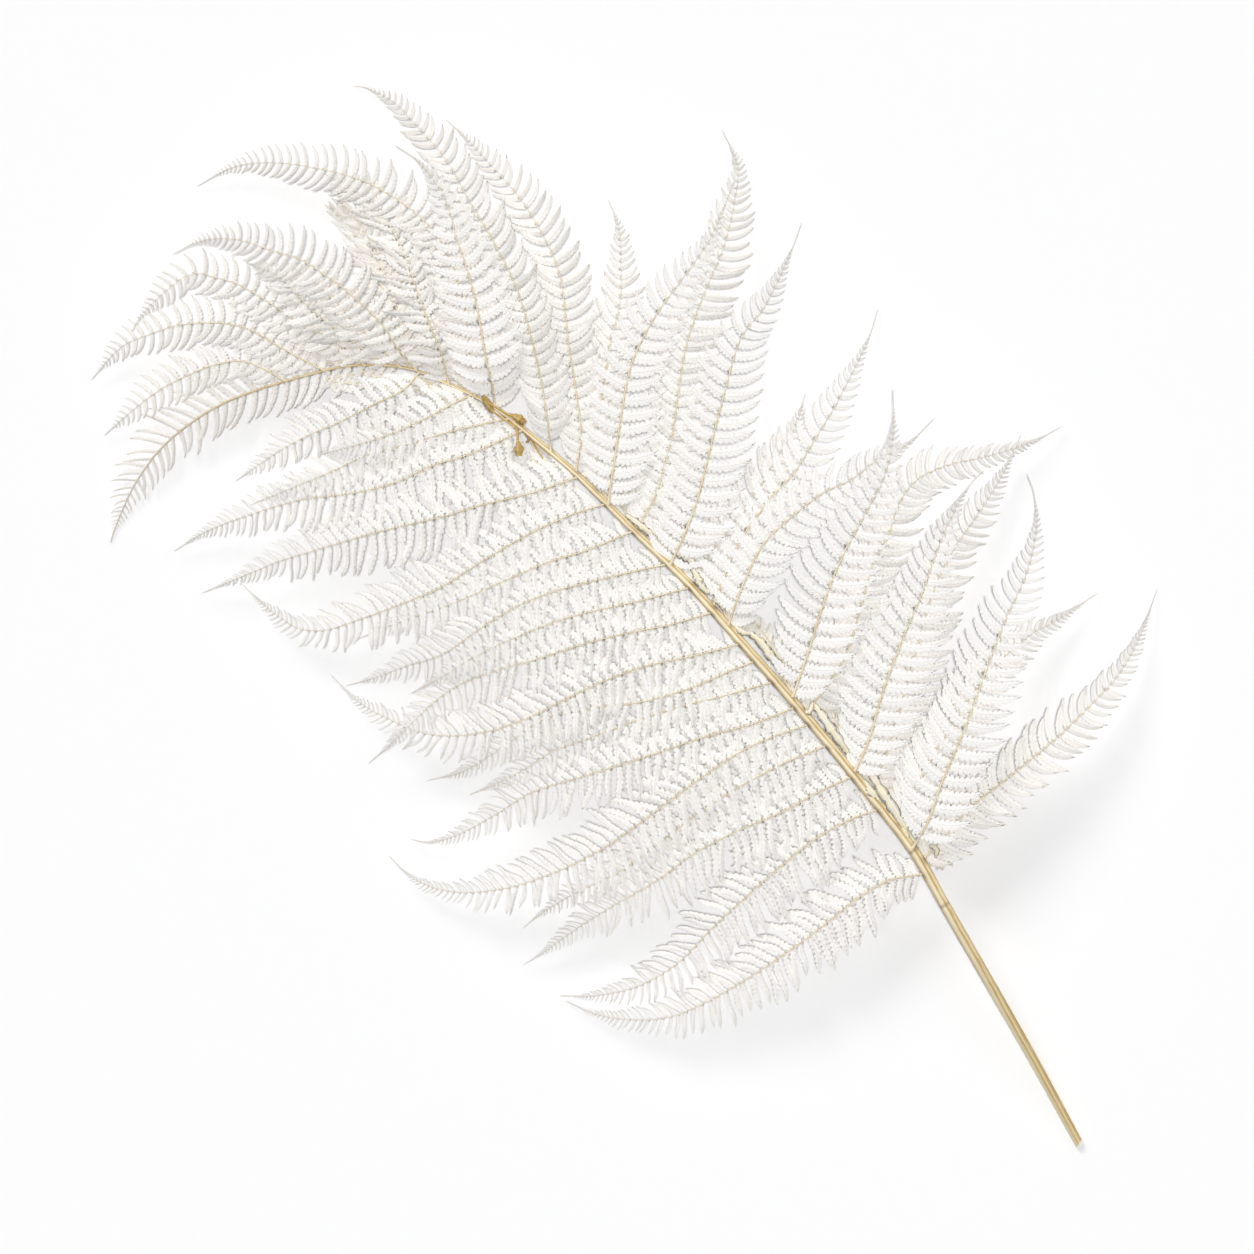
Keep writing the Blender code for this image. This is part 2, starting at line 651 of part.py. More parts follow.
def tube(name, points, radii, group):
    """A round tube through points, of changing thickness, as a closed mesh."""
    curve = bpy.data.curves.new(name, "CURVE")
    curve.dimensions = "3D"
    curve.bevel_depth = 1.0
    curve.bevel_resolution = TUBE_BEVEL_STEPS
    curve.use_fill_caps = True
    spline = curve.splines.new("POLY")
    spline.points.add(len(points) - 1)
    for knot, point, radius in zip(spline.points, points, radii):
        knot.co = (*point, 1.0)
        knot.radius = radius
    item = bpy.data.objects.new(name, curve)
    group.objects.link(item)
    evaluated = item.evaluated_get(bpy.context.evaluated_depsgraph_get())
    mesh = bpy.data.meshes.new_from_object(evaluated)
    shape = bmesh.new()
    shape.from_mesh(mesh)
    bmesh.ops.remove_doubles(shape, verts=shape.verts, dist=MERGE_DISTANCE)
    bmesh.ops.recalc_face_normals(shape, faces=shape.faces)
    shape.to_mesh(mesh)
    shape.free()
    place = item.matrix_world.copy()
    bpy.data.objects.remove(item, do_unlink=True)
    result = bpy.data.objects.new(name, mesh)
    result.matrix_world = place
    group.objects.link(result)
    return result


def stub_tube(index, stub, rachis, group):
    """One dried stub, rooted inside the rachis."""
    line = Line([plan_point(knot[:2]) for knot in stub])
    count = STUB_STEPS * (len(stub) - 1)
    knots = [line.nearest(plan_point(knot[:2]))[0] for knot in stub]
    points = []
    radii = []
    for step in range(count + 1):
        distance = line.length * step / count
        rise = float(np.interp(distance, knots, [knot[2] for knot in stub]))
        width = float(np.interp(distance, knots, [knot[3] for knot in stub]))
        along, _ = rachis.nearest(line.point(distance))
        spot = line.point(distance)
        spot.z = rachis.height(along) + rise * MM
        points.append(spot)
        radii.append(width * MM / 2)
    return tube(f"dried_stub_{index}", points, radii, group)


def cutter_box(name, size, centre, turn, group):
    """A box that only cuts."""
    bpy.ops.mesh.primitive_cube_add(size=1.0)
    box = bpy.context.active_object
    box.name = name
    for vertex in box.data.vertices:
        vertex.co = Vector((vertex.co.x * size[0], vertex.co.y * size[1], vertex.co.z * size[2]))
    box.location = centre
    box.rotation_euler = turn
    for holder in list(box.users_collection):
        holder.objects.unlink(box)
    group.objects.link(box)
    box.hide_render = True
    box.display_type = "WIRE"
    return box


def make_rachis(rachis, parts, cutters, material):
    """The stem with its dried stubs, cut slanting at one end and flat where it rests."""
    end = rachis.length * TUBE_END
    count = round(end / TUBE_STEP)
    distances = [end * i / count for i in range(count + 1)]
    places = [rachis.place(d) for d in distances]
    stem = tube("rachis", places, [rachis.radius(d) for d in distances], parts)
    joins = new_collection("rachis_joins")
    for index, stub in enumerate(DRIED_STUBS, start=1):
        stub_tube(index, stub, rachis, joins)
    union = stem.modifiers.new("stubs", "BOOLEAN")
    union.operation = "UNION"
    union.operand_type = "COLLECTION"
    union.collection = joins
    bpy.context.view_layer.update()
    evaluated = stem.evaluated_get(bpy.context.evaluated_depsgraph_get())
    joined = bpy.data.meshes.new_from_object(evaluated)
    stem.modifiers.clear()
    stem.data = joined
    for item in list(joins.objects):
        bpy.data.objects.remove(item, do_unlink=True)
    bpy.data.collections.remove(joins)
    stem.data.materials.clear()
    stem.data.materials.append(material)

    heading = rachis.heading(0.0)
    start = rachis.place(0.0)
    slab = CUTTER_SIZE
    floor = cutter_box("floor_cutter", (slab * 2, slab * 2, slab),
                       Vector((start.x, start.y, -slab / 2)), (0, 0, 0), cutters)
    back = Vector((math.cos(heading), math.sin(heading), 0.0))
    reach = slab / 2 - CUT_END_TRIM
    slant = cutter_box("end_cutter", (slab, slab, slab), start - back * reach,
                       (0, 0, heading + CUT_END_SLANT), cutters)
    for cutter in (floor, slant):
        cut = stem.modifiers.new(cutter.name, "BOOLEAN")
        cut.operation = "DIFFERENCE"
        cut.object = cutter
    return stem


def stand_on_origin(items, cutters, group):
    """Parent everything to an empty that brings the box's bottom middle to the origin."""
    bpy.context.view_layer.update()
    graph = bpy.context.evaluated_depsgraph_get()
    corners = []
    for item in items:
        mesh = item.evaluated_get(graph).to_mesh()
        corners.append(np.array([item.matrix_world @ v.co for v in mesh.vertices]))
    spread = np.concatenate(corners)
    low, high = spread.min(axis=0), spread.max(axis=0)
    anchor = bpy.data.objects.new("frond_anchor", None)
    anchor.location = (-(low[0] + high[0]) / 2, -(low[1] + high[1]) / 2, -low[2])
    group.objects.link(anchor)
    for item in items + list(cutters.objects):
        item.parent = anchor


def main():
    """Build the frond."""
    clear_scene()
    parts = new_collection("bracken_frond")
    cutters = new_collection("cutters")
    straw = finish_material("straw_stem", STRAW, STRAW_ROUGHNESS)
    bleached = finish_material("bleached_leaf", BLEACHED, BLEACHED_ROUGHNESS)
    rachis = Rachis([plan_point(pixel) for pixel in RACHIS_PLAN])
    items = [make_rachis(rachis, parts, cutters, straw)]
    items += make_pinnae(rachis, parts, bleached)
    stand_on_origin(items, cutters, parts)


main()
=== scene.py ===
"""Bracken frond, dressed: fine leaflets, a ribbed gold stem, dried stubs and withered leaflets.

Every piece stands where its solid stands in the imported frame. Plan positions are pixels of a
top view, turned so that the frond runs along +Y, and PlanView turns them into metres.
"""

import itertools
import json
import logging
import math
import random
from collections.abc import Mapping, Sequence
from dataclasses import dataclass, field
from enum import Enum

import bmesh
import bpy
import numpy as np
from bpy.types import ID, Material, Mesh, Node, NodeSocket, NodeTree, Object
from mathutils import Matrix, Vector
from mathutils.bvhtree import BVHTree
from mathutils.geometry import interpolate_bezier

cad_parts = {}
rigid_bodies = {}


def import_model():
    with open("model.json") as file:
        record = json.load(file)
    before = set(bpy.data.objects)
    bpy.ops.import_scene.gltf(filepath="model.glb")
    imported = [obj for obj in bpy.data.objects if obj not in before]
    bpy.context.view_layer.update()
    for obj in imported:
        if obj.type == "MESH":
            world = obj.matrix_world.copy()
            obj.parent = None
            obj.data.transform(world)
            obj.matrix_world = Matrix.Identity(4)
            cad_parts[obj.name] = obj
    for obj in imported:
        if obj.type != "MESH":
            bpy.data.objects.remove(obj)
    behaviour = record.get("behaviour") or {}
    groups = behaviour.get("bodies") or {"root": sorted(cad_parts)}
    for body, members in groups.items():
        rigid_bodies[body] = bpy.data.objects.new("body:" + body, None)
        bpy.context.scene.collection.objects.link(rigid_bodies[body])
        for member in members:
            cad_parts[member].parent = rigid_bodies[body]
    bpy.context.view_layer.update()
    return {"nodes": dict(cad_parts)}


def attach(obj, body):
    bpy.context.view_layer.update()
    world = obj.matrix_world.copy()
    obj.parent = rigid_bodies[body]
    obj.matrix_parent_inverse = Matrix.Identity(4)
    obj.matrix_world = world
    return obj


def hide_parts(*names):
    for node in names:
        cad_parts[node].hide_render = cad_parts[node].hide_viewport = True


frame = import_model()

LOG = logging.getLogger("bracken_frond")

MM = 0.001
BODY = "root"
X_AXIS = (1.0, 0.0, 0.0)
UP = (0.0, 0.0, 1.0)
DOWN = (0.0, 0.0, -1.0)
FLOOR_CLEARANCE = 0.05 * MM
SINKING_LEFT = 0.02
ATTRIBUTE_KINDS = ((bool, "BOOLEAN"), (int, "INT"), (float, "FLOAT"), (tuple, "FLOAT_VECTOR"))

# A Span is where something starts and ends. A Band adds its value at the start and at the end.
Colour = tuple[float, float, float]
Pixel = tuple[float, float]
Span = tuple[float, float]
Band = tuple[float, float, float, float]


class Side(Enum):
    """Side of a line, looking along it."""

    LEFT = 1
    RIGHT = -1


class Habit(Enum):
    """How the leaflets of a pinna lie."""

    FLAT = "flat"
    LOOSE = "loose"
    CRUMPLED = "crumpled"
    OUTER = "outer"
    ROLLED = "rolled"
    LEAFY_END = "leafy_end"


@dataclass(frozen=True)
class PlanView:
    """Where the pixels of the top view lie in the frame."""

    pixel: float = 0.5 * MM
    centre: Pixel = (627.0, 627.0)
    turn: float = math.radians(40.0)
    shift: tuple[float, float] = (-30.296 * MM, 16.567 * MM)

    def spot(self, pixel: Pixel) -> Vector:
        """Turn a pixel into a point on the surface, in metres.

        Args:
            pixel: Column and row in the top view.

        Returns:
            The point, with z = 0.
        """
        x = (pixel[0] - self.centre[0]) * self.pixel
        y = (self.centre[1] - pixel[1]) * self.pixel
        turned_x = x * math.cos(self.turn) + y * math.sin(self.turn)
        turned_y = y * math.cos(self.turn) - x * math.sin(self.turn)
        return Vector((turned_x + self.shift[0], turned_y + self.shift[1], 0.0))


PLAN = PlanView()


class PlanLine:
    """A smooth line through plan points, read by its distance from the start."""

    STEPS = 24
    HANDLES_IN_SPAN = 3

    def __init__(self, pixels: Sequence[Pixel]) -> None:
        """Lay the line.

        Args:
            pixels: The points it passes through, from start to end.
        """
        points = [PLAN.spot(pixel) for pixel in pixels]
        before = [points[0]] + points[:-1]
        after = points[1:] + [points[-1]]
        headings = [(b - a).normalized() for a, b in zip(before, after)]
        fine = []
        for i in range(len(points) - 1):
            reach = (points[i + 1] - points[i]).length / self.HANDLES_IN_SPAN
            fine.extend(interpolate_bezier(
                points[i], points[i] + headings[i] * reach,
                points[i + 1] - headings[i + 1] * reach, points[i + 1], self.STEPS)[:-1])
        fine.append(points[-1])
        self.xy = np.array([(p.x, p.y) for p in fine])
        steps = np.diff(self.xy, axis=0)
        self.run = np.concatenate(([0.0], np.cumsum(np.hypot(steps[:, 0], steps[:, 1]))))
        self.length = float(self.run[-1])
        self.angle = np.unwrap(np.arctan2(steps[:, 1], steps[:, 0]))
        self.middle = (self.run[1:] + self.run[:-1]) / 2

    def point(self, distance: float) -> Vector:
        """Plan position at a distance along the line."""
        x, y = (float(np.interp(distance, self.run, self.xy[:, axis])) for axis in (0, 1))
        return Vector((x, y, 0.0))

    def heading(self, distance: float) -> float:
        """Direction of the line, as an angle, at a distance along it."""
        return float(np.interp(distance, self.middle, self.angle))

    def nearest(self, point: Vector) -> float:
        """Distance along the line of its nearest point."""
        gaps = np.hypot(self.xy[:, 0] - point.x, self.xy[:, 1] - point.y)
        return float(self.run[int(np.argmin(gaps))])


class RachisLine(PlanLine):
    """The stem's line, with the height and thickness that its solid has."""

    PIXELS = (
        (1083, 1150), (1031, 1055), (985, 975), (944, 904), (913, 850), (866, 790),
        (802, 712), (739, 640), (687, 582), (630, 527), (576, 474), (530, 435),
        (492, 406), (455, 387), (417, 371), (392, 366), (349, 366), (303, 376),
        (239, 396), (198, 417), (160, 448), (133, 485), (115, 524), (109, 542),
    )
    THICKNESS = (
        (0.00, 4.4), (0.12, 5.5), (0.20, 5.5), (0.31, 5.0), (0.48, 4.5), (0.57, 3.5),
        (0.64, 3.0), (0.69, 2.2), (0.73, 1.7), (0.77, 1.3), (1.00, 0.6),
    )
    BARE_END = 0.742
    CUT_HEIGHT = 1.5 * MM
    CUT_EASE = 60 * MM
    ARCH = 36 * MM
    SKEW = 0.868
    ROOM_STEP = 1 * MM
    ROOM_MARGIN = 0.7 * MM
    LEAST_ROOM = 1.5 * MM

    def __init__(self) -> None:
        """Lay the stem's line from its cut end to its leafy tip."""
        super().__init__(self.PIXELS)

    def height(self, distance: float) -> float:
        """Height of the stem's middle over the surface.

        Args:
            distance: Distance along the stem from its cut end.

        Returns:
            The height.
        """
        share = distance / self.length
        arch = self.ARCH * math.sin(math.pi * share ** self.SKEW)
        return self.CUT_HEIGHT * (1 - share) + arch * (1 - math.exp(-distance / self.CUT_EASE))

    def radius(self, distance: float) -> float:
        """Half the stem's thickness."""
        shares, widths = zip(*self.THICKNESS)
        return float(np.interp(distance / self.length, shares, widths)) * MM / 2

    def place(self, distance: float) -> Vector:
        """Middle of the stem, in space."""
        return self.point(distance) + Vector((0.0, 0.0, self.height(distance)))

    def room(self, root: Vector, angle: float, reach: float) -> float:
        """Length that a leaflet can have before it meets the stem.

        Args:
            root: Where the leaflet grows.
            angle: Its direction in the plan.
            reach: The length that it has in the open.

        Returns:
            The length, at least the root zone's smallest.
        """
        way = Vector((math.cos(angle), math.sin(angle), 0.0))
        flat = Vector((root.x, root.y, 0.0))
        last = math.inf
        for step in np.arange(0.0, reach, self.ROOM_STEP):
            point = flat + way * float(step)
            near = self.nearest(point)
            gap = (point - self.point(near)).length - self.radius(near)
            if gap < self.ROOM_MARGIN and gap < last:
                return max(float(step) - self.ROOM_STEP, self.LEAST_ROOM)
            last = gap
        return reach


RACHIS = RachisLine()


class Graph:
    """Adds nodes to a node tree, sets their inputs and links them."""

    TREE = "ShaderNodeTree"
    VECTOR_INPUTS = {"a": 0, "b": 1, "scale": "Scale"}

    def __init__(self, tree: NodeTree) -> None:
        """Keep the tree that the nodes go into."""
        self.tree = tree

    @classmethod
    def group(cls, name: str, inputs: Mapping[str, object],
              output: tuple[str, str]) -> tuple["Graph", dict[str, NodeSocket]]:
        """Start a node group with named sockets.

        Args:
            name: The group's name.
            inputs: Name of each input to its usual value, or to its socket type and usual value.
            output: Name and socket type of the output.

        Returns:
            The group's graph and its input sockets by name.
        """
        tree = bpy.data.node_groups.new(name, cls.TREE)
        for label, usual in inputs.items():
            kind, value = usual if isinstance(usual, tuple) else ("NodeSocketFloat", usual)
            socket = tree.interface.new_socket(name=label, in_out="INPUT", socket_type=kind)
            if value is not None:
                socket.default_value = value
        tree.interface.new_socket(name=output[0], in_out="OUTPUT", socket_type=output[1])
        graph = cls(tree)
        entry = graph.add("NodeGroupInput")
        return graph, {socket.name: socket for socket in entry.outputs if socket.name}

    def add(self, kind: str, inputs: Mapping | None = None, **settings: object) -> Node:
        """Add a node.

        Args:
            kind: Blender's name of the node type.
            inputs: Socket name or number to a value, or to the output that feeds it.
            settings: The node's own properties.

        Returns:
            The node.
        """
        node = self.tree.nodes.new(kind)
        for name, value in settings.items():
            setattr(node, name, value)
        for key, value in (inputs or {}).items():
            self.give(node.inputs[key], value)
        return node

    def give(self, socket: NodeSocket, value: object) -> None:
        """Give an input its value.

        Args:
            socket: The input.
            value: A number, a colour or another value, or the output that feeds it.
        """
        if isinstance(value, NodeSocket):
            self.tree.links.new(value, socket)
        else:
            socket.default_value = (*value, 1.0) if socket.type == "RGBA" else value

    def out(self, kind: str, inputs: Mapping | None = None, **settings: object) -> NodeSocket:
        """First output of a new node, which takes what add() takes."""
        return self.add(kind, inputs, **settings).outputs[0]

    def math(self, operation: str, *values: object) -> NodeSocket:
        """Result of a Math node on up to three numbers or sockets."""
        return self.out("ShaderNodeMath", dict(enumerate(values)), operation=operation)

    def vector(self, operation: str, **values: object) -> NodeSocket:
        """Result of a Vector Math node on a, b and scale."""
        inputs = {self.VECTOR_INPUTS[name]: value for name, value in values.items()}
        return self.out("ShaderNodeVectorMath", inputs, operation=operation)

    def ramp(self, value: object, low: float, high: float,
             start: float = 0.0, end: float = 1.0) -> NodeSocket:
        """Smooth step of a value from start to end as it goes from low to high."""
        return self.out("ShaderNodeMapRange", {0: value, 1: low, 2: high, 3: start, 4: end},
                        interpolation_type="SMOOTHSTEP")


class ShaderGraph(Graph):
    """Nodes of one material, with its Principled shader."""

    def __init__(self, name: str) -> None:
        """Make the material.

        Args:
            name: The material's name.
        """
        self.material = bpy.data.materials.new(name)
        self.material.use_nodes = True
        super().__init__(self.material.node_tree)
        self.shader = self.tree.nodes["Principled BSDF"]

    def feed(self, socket: str, value: object) -> None:
        """Give one of the shader's inputs a value or a link."""
        self.give(self.shader.inputs[socket], value)

    def trait(self, name: str) -> NodeSocket:
        """Value of a named attribute of the mesh."""
        node = self.add("ShaderNodeAttribute", attribute_name=name, attribute_type="GEOMETRY")
        return node.outputs["Fac"]

    def effect(self, group: NodeTree, **values: object) -> NodeSocket:
        """Output of a shared effect, with its inputs given by their names in small letters."""
        inputs = {name.title(): value for name, value in values.items()}
        return self.out("ShaderNodeGroup", inputs, node_tree=group)

    def paint(self, colour: object, *coats: tuple[object, Colour]) -> NodeSocket:
        """Lay coats of paint over a colour.

        Args:
            colour: The colour underneath, or the output that gives it.
            coats: For each coat a mask, which is 1 where it covers, and its colour.

        Returns:
            The output that gives the painted colour.
        """
        for mask, tint in coats:
            mix = self.add("ShaderNodeMix", {0: mask, 6: colour, 7: tint}, data_type="RGBA")
            colour = mix.outputs[2]
        return colour

    def relief(self, height: object, depth: float, strength: float) -> None:
        """Raise the surface by a height, given how deep it is in metres."""
        bump = {"Height": height, "Distance": depth, "Strength": strength}
        self.feed("Normal", self.out("ShaderNodeBump", bump))


class GeometryGraph(Graph):
    """Nodes of one Geometry Nodes tree."""

    TREE = "GeometryNodeTree"
    OUTPUT = ("Geometry", "NodeSocketGeometry")
    CHANCE_SOCKETS = {"FLOAT": (2, 1), "INT": (4, 2)}

    def named(self, name: str, kind: str = "FLOAT") -> NodeSocket:
        """Named attribute of the geometry that the tree works on."""
        return self.out("GeometryNodeInputNamedAttribute", {0: name}, data_type=kind)

    def keep(self, geometry: NodeSocket, name: str, value: NodeSocket, domain: str) -> NodeSocket:
        """Geometry with a value stored on it under a name."""
        return self.out("GeometryNodeStoreNamedAttribute", {0: geometry, 2: name, 3: value},
                        data_type="FLOAT", domain=domain)

    def chance(self, low: object, high: object, seed: object, kind: str = "FLOAT") -> NodeSocket:
        """Random number for each point, a whole number if kind is INT."""
        first, result = self.CHANCE_SOCKETS[kind]
        return self.add("FunctionNodeRandomValue", {first: low, first + 1: high, "Seed": seed},
                        data_type=kind).outputs[result]

    def join(self, *parts: NodeSocket) -> NodeSocket:
        """Put geometry together.

        Args:
            parts: The outputs that give it, in order.

        Returns:
            The output that gives all of it.
        """
        node = self.add("GeometryNodeJoinGeometry")
        for part in parts:
            self.tree.links.new(part, node.inputs[0])
        return node.outputs[0]

    def close(self, geometry: NodeSocket) -> None:
        """End the tree with realised geometry.

        Args:
            geometry: The output that gives the result.
        """
        real = self.out("GeometryNodeRealizeInstances", {0: geometry})
        self.add("NodeGroupOutput", {0: real})
        self.tree.is_modifier = True


class SharedEffects:
    """Effects that more than one finish uses, each a shader node group."""

    def __init__(self) -> None:
        """Build both groups."""
        self.mottling = self._mottling()
        self.fibre = self._fibre()

    @staticmethod
    def _mottling() -> NodeTree:
        """Soft blotches in object space, as a mask from 0 to 1.

        Returns:
            The group.
        """
        graph, given = Graph.group("mottling", {"Scale": 100.0, "Low": 0.4, "High": 0.6},
                                   ("Mask", "NodeSocketFloat"))
        place = graph.add("ShaderNodeTexCoord").outputs["Object"]
        noise = graph.out("ShaderNodeTexNoise", {
            "Vector": place, "Scale": given["Scale"], "Detail": 3.0, "Roughness": 0.55})
        mask = graph.out("ShaderNodeMapRange", {0: noise, 1: given["Low"], 2: given["High"]},
                         clamp=True)
        graph.add("NodeGroupOutput", {"Mask": mask})
        return graph.tree

    @staticmethod
    def _fibre() -> NodeTree:
        """Fine streaks that run lengthwise, from a place along and a place around.

        Returns:
            The group.
        """
        usual = {"Along": 0.0, "Around": 0.0, "Length": 40.0, "Count": 12.0}
        graph, given = Graph.group("fibre", usual, ("Streak", "NodeSocketFloat"))
        spot = graph.out("ShaderNodeCombineXYZ", {
            0: graph.math("MULTIPLY", given["Along"], given["Length"]),
            1: graph.math("MULTIPLY", given["Around"], given["Count"])})
        noise = graph.out("ShaderNodeTexNoise", {
            "Vector": spot, "Scale": 1.0, "Detail": 4.0, "Roughness": 0.6})
        graph.add("NodeGroupOutput", {"Streak": noise})
        return graph.tree


@dataclass(frozen=True)
class LeafFinish:
    """Bleached leaf: papery white with a warm painted shade mixed in by leaflet and by patch, cream
    at the root and grey at the tip; its edges and notches take a brown rim colour that is partly
    painted shade.
    """

    name: str
    lit: Colour = (0.975, 0.96, 0.935)
    shaded: Colour = (0.88, 0.83, 0.77)
    vein: Colour = (0.84, 0.79, 0.70)
    rim: Colour = (0.60, 0.53, 0.45)
    tip: Colour = (0.60, 0.55, 0.49)
    root: Colour = (0.90, 0.84, 0.70)
    speck: Colour = (0.28, 0.19, 0.10)
    shading: float = 0.15
    rim_stain_and_shade_amount: float = 0.16
    notch_stain_and_shade_amount: float = 0.50
    tip_amount: float = 0.45
    leaf_end_amount: float = 0.0

    PATCHES = {"scale": 160.0, "low": 0.35, "high": 0.7}
    SPECKS = {"scale": 420.0, "low": 0.705, "high": 0.755}
    TONE_SHARE = 0.6
    PATCH_SHARE = 0.4
    VEIN_BAND = (0.02, 0.10, 0.40, 0.0)
    ROOT_BAND = (0.0, 0.10, 0.40, 0.0)
    RIM_SPAN = (0.80, 1.0)
    NOTCH_SPAN = (0.45, 1.0)
    LEAF_END_SPAN = (0.70, 1.0)
    TIP_SPAN = (0.72, 1.0)
    SPECK_SPAN = (0.25, 0.7)
    ROUGHNESS = 0.72
    ROUGHNESS_SPREAD = 0.15
    SPECULAR = 0.25
    SIDE_VEINS = 66.0
    SIDE_VEIN_SLANT = -0.10
    SIDE_VEIN_DEPTH = 0.5
    GROOVE_BAND = (0.0, 0.12, -1.0, 0.0)

    def build(self, effects: SharedEffects) -> Material:
        """Make the material.

        Args:
            effects: The shared shader groups.

        Returns:
            The material.
        """
        graph = ShaderGraph(self.name)
        along, out, notch = map(graph.trait, ("along", "leaf_out", "leaf_notch"))
        across = graph.math("ABSOLUTE", graph.trait("leaf_across"))
        patch = graph.effect(effects.mottling, **self.PATCHES)
        shade = graph.math("MULTIPLY_ADD", graph.trait("tone"), self.TONE_SHARE,
                           graph.math("MULTIPLY", patch, self.PATCH_SHARE))
        worn = graph.math("MULTIPLY", graph.ramp(along, *self.TIP_SPAN), self.tip_amount)
        spotted = graph.math("MULTIPLY", graph.effect(effects.mottling, **self.SPECKS),
                             graph.ramp(notch, *self.SPECK_SPAN))
        graph.feed("Base Color", graph.paint(
            self.lit,
            (graph.math("MULTIPLY", shade, self.shading), self.shaded),
            (graph.ramp(across, *self.VEIN_BAND), self.vein),
            (graph.ramp(out, *self.ROOT_BAND), self.root),
            # The rim colour on the edges and in the notches is partly a browned edge and partly
            # painted shade, where the gaps between leaflets fall dark.
            (graph.ramp(across, *self.RIM_SPAN, 0.0, self.rim_stain_and_shade_amount), self.rim),
            (graph.ramp(notch, *self.NOTCH_SPAN, 0.0, self.notch_stain_and_shade_amount), self.rim),
            (graph.ramp(out, *self.LEAF_END_SPAN, 0.0, self.leaf_end_amount), self.rim),
            (worn, self.tip),
            (spotted, self.speck)))
        graph.feed("Roughness", graph.math(
            "MULTIPLY_ADD", patch, self.ROUGHNESS_SPREAD, self.ROUGHNESS))
        graph.feed("Specular IOR Level", self.SPECULAR)
        slanted = graph.math("MULTIPLY_ADD", across, self.SIDE_VEIN_SLANT, out)
        ribs = graph.math("SINE", graph.math("MULTIPLY", slanted, self.SIDE_VEINS))
        height = graph.math("MULTIPLY_ADD", ribs, self.SIDE_VEIN_DEPTH,
                            graph.ramp(across, *self.GROOVE_BAND))
        graph.relief(height, depth=0.20 * MM, strength=0.6)
        return graph.material


@dataclass(frozen=True)
class StemFinish:
    """Stem: bands of straw gold that run lengthwise, with a painted highlight and painted shade
    across the stem, a dark groove and brown marks at the roots.
    """

    name: str = "straw_stem"
    # Besides the straw gold, the bands hold painted light: the palest stops are a painted highlight
    # along the stem's left side, and the dark stops near the end of the ramp are painted shade on
    # its right flank.
    bands: tuple[tuple[float, Colour], ...] = (
        (0.00, (0.58, 0.42, 0.21)), (0.10, (0.74, 0.57, 0.31)), (0.20, (0.93, 0.82, 0.55)),
        (0.30, (0.97, 0.91, 0.68)), (0.38, (0.93, 0.80, 0.50)), (0.46, (0.72, 0.52, 0.24)),
        (0.52, (0.46, 0.29, 0.10)), (0.58, (0.74, 0.56, 0.28)), (0.66, (0.93, 0.81, 0.54)),
        (0.75, (0.80, 0.62, 0.33)), (0.82, (0.60, 0.42, 0.18)), (0.91, (0.54, 0.37, 0.15)),
        (1.00, (0.66, 0.50, 0.27)),
    )
    pale: Colour = (0.96, 0.87, 0.62)
    dark: Colour = (0.38, 0.24, 0.07)
    olive: Colour = (0.42, 0.31, 0.13)
    mark: Colour = (0.20, 0.11, 0.035)
    turn: float = 0.25
    turn_span: Span = (0.03, 0.24)
    streak_wander: float = 0.22
    drift_wander: float = 0.35
    pale_streaks: Band = (0.50, 0.72, 0.0, 0.5)
    dark_streaks: Band = (0.30, 0.44, 0.45, 0.0)
    blotch: float = 0.14
    olive_foot: Band = (0.10, 0.26, 0.30, 0.0)
    left_face: Band = (-1.0, 0.1, 1.0, 0.0)
    right_face: Span = (-0.1, 1.0)
    roughness: float = 0.30
    roughness_spread: float = 0.25

    FIBRES = {"length": 70.0, "count": 16.0}
    DRIFT = {"around": 0.0, "length": 16.0, "count": 1.0}
    PATCHES = {"scale": 45.0, "low": 0.35, "high": 0.7}

    def build(self, effects: SharedEffects) -> Material:
        """Make the material.

        Args:
            effects: The shared shader groups.

        Returns:
            The material.
        """
        graph = ShaderGraph(self.name)
        along, around = graph.trait("along"), graph.trait("around")
        side = graph.math("COSINE", graph.math("MULTIPLY", around, math.tau))
        streak = graph.effect(effects.fibre, along=along, around=around, **self.FIBRES)
        drift = graph.effect(effects.fibre, along=along, **self.DRIFT)
        off_drift = graph.math("MULTIPLY", graph.math("SUBTRACT", drift, 0.5), self.drift_wander)
        wander = graph.math("MULTIPLY_ADD", graph.math("SUBTRACT", streak, 0.5),
                            self.streak_wander, off_drift)
        place = graph.math("ADD", graph.math("MULTIPLY_ADD", side, 0.5, 0.5), wander)
        turned = graph.ramp(along, *self.turn_span, self.turn, 0.0)
        place = graph.math("DIVIDE", graph.math("ADD", place, turned), 1.0 + self.turn)
        ramp = graph.add("ShaderNodeValToRGB", {0: place})
        stops = ramp.color_ramp.elements
        for number, (spot, colour) in enumerate(self.bands):
            stop = stops[number] if number < len(stops) else stops.new(spot)
            stop.position, stop.color = spot, (*colour, 1.0)
        patch = graph.effect(effects.mottling, **self.PATCHES)
        left, right = (
            graph.math("MULTIPLY", graph.trait(trait), graph.ramp(side, *face))
            for trait, face in (("mark_left", self.left_face), ("mark_right", self.right_face)))
        marks = graph.math("MAXIMUM", graph.math("MAXIMUM", left, right), graph.trait("mark"))
        graph.feed("Base Color", graph.paint(
            ramp.outputs[0],
            (graph.ramp(streak, *self.pale_streaks), self.pale),
            (graph.ramp(streak, *self.dark_streaks), self.dark),
            (graph.math("MULTIPLY", patch, self.blotch), self.dark),
            (graph.ramp(along, *self.olive_foot), self.olive),
            (marks, self.mark)))
        graph.feed("Roughness", graph.math(
            "MULTIPLY_ADD", streak, self.roughness_spread, self.roughness))
        graph.relief(streak, depth=0.25 * MM, strength=0.7)
        return graph.material


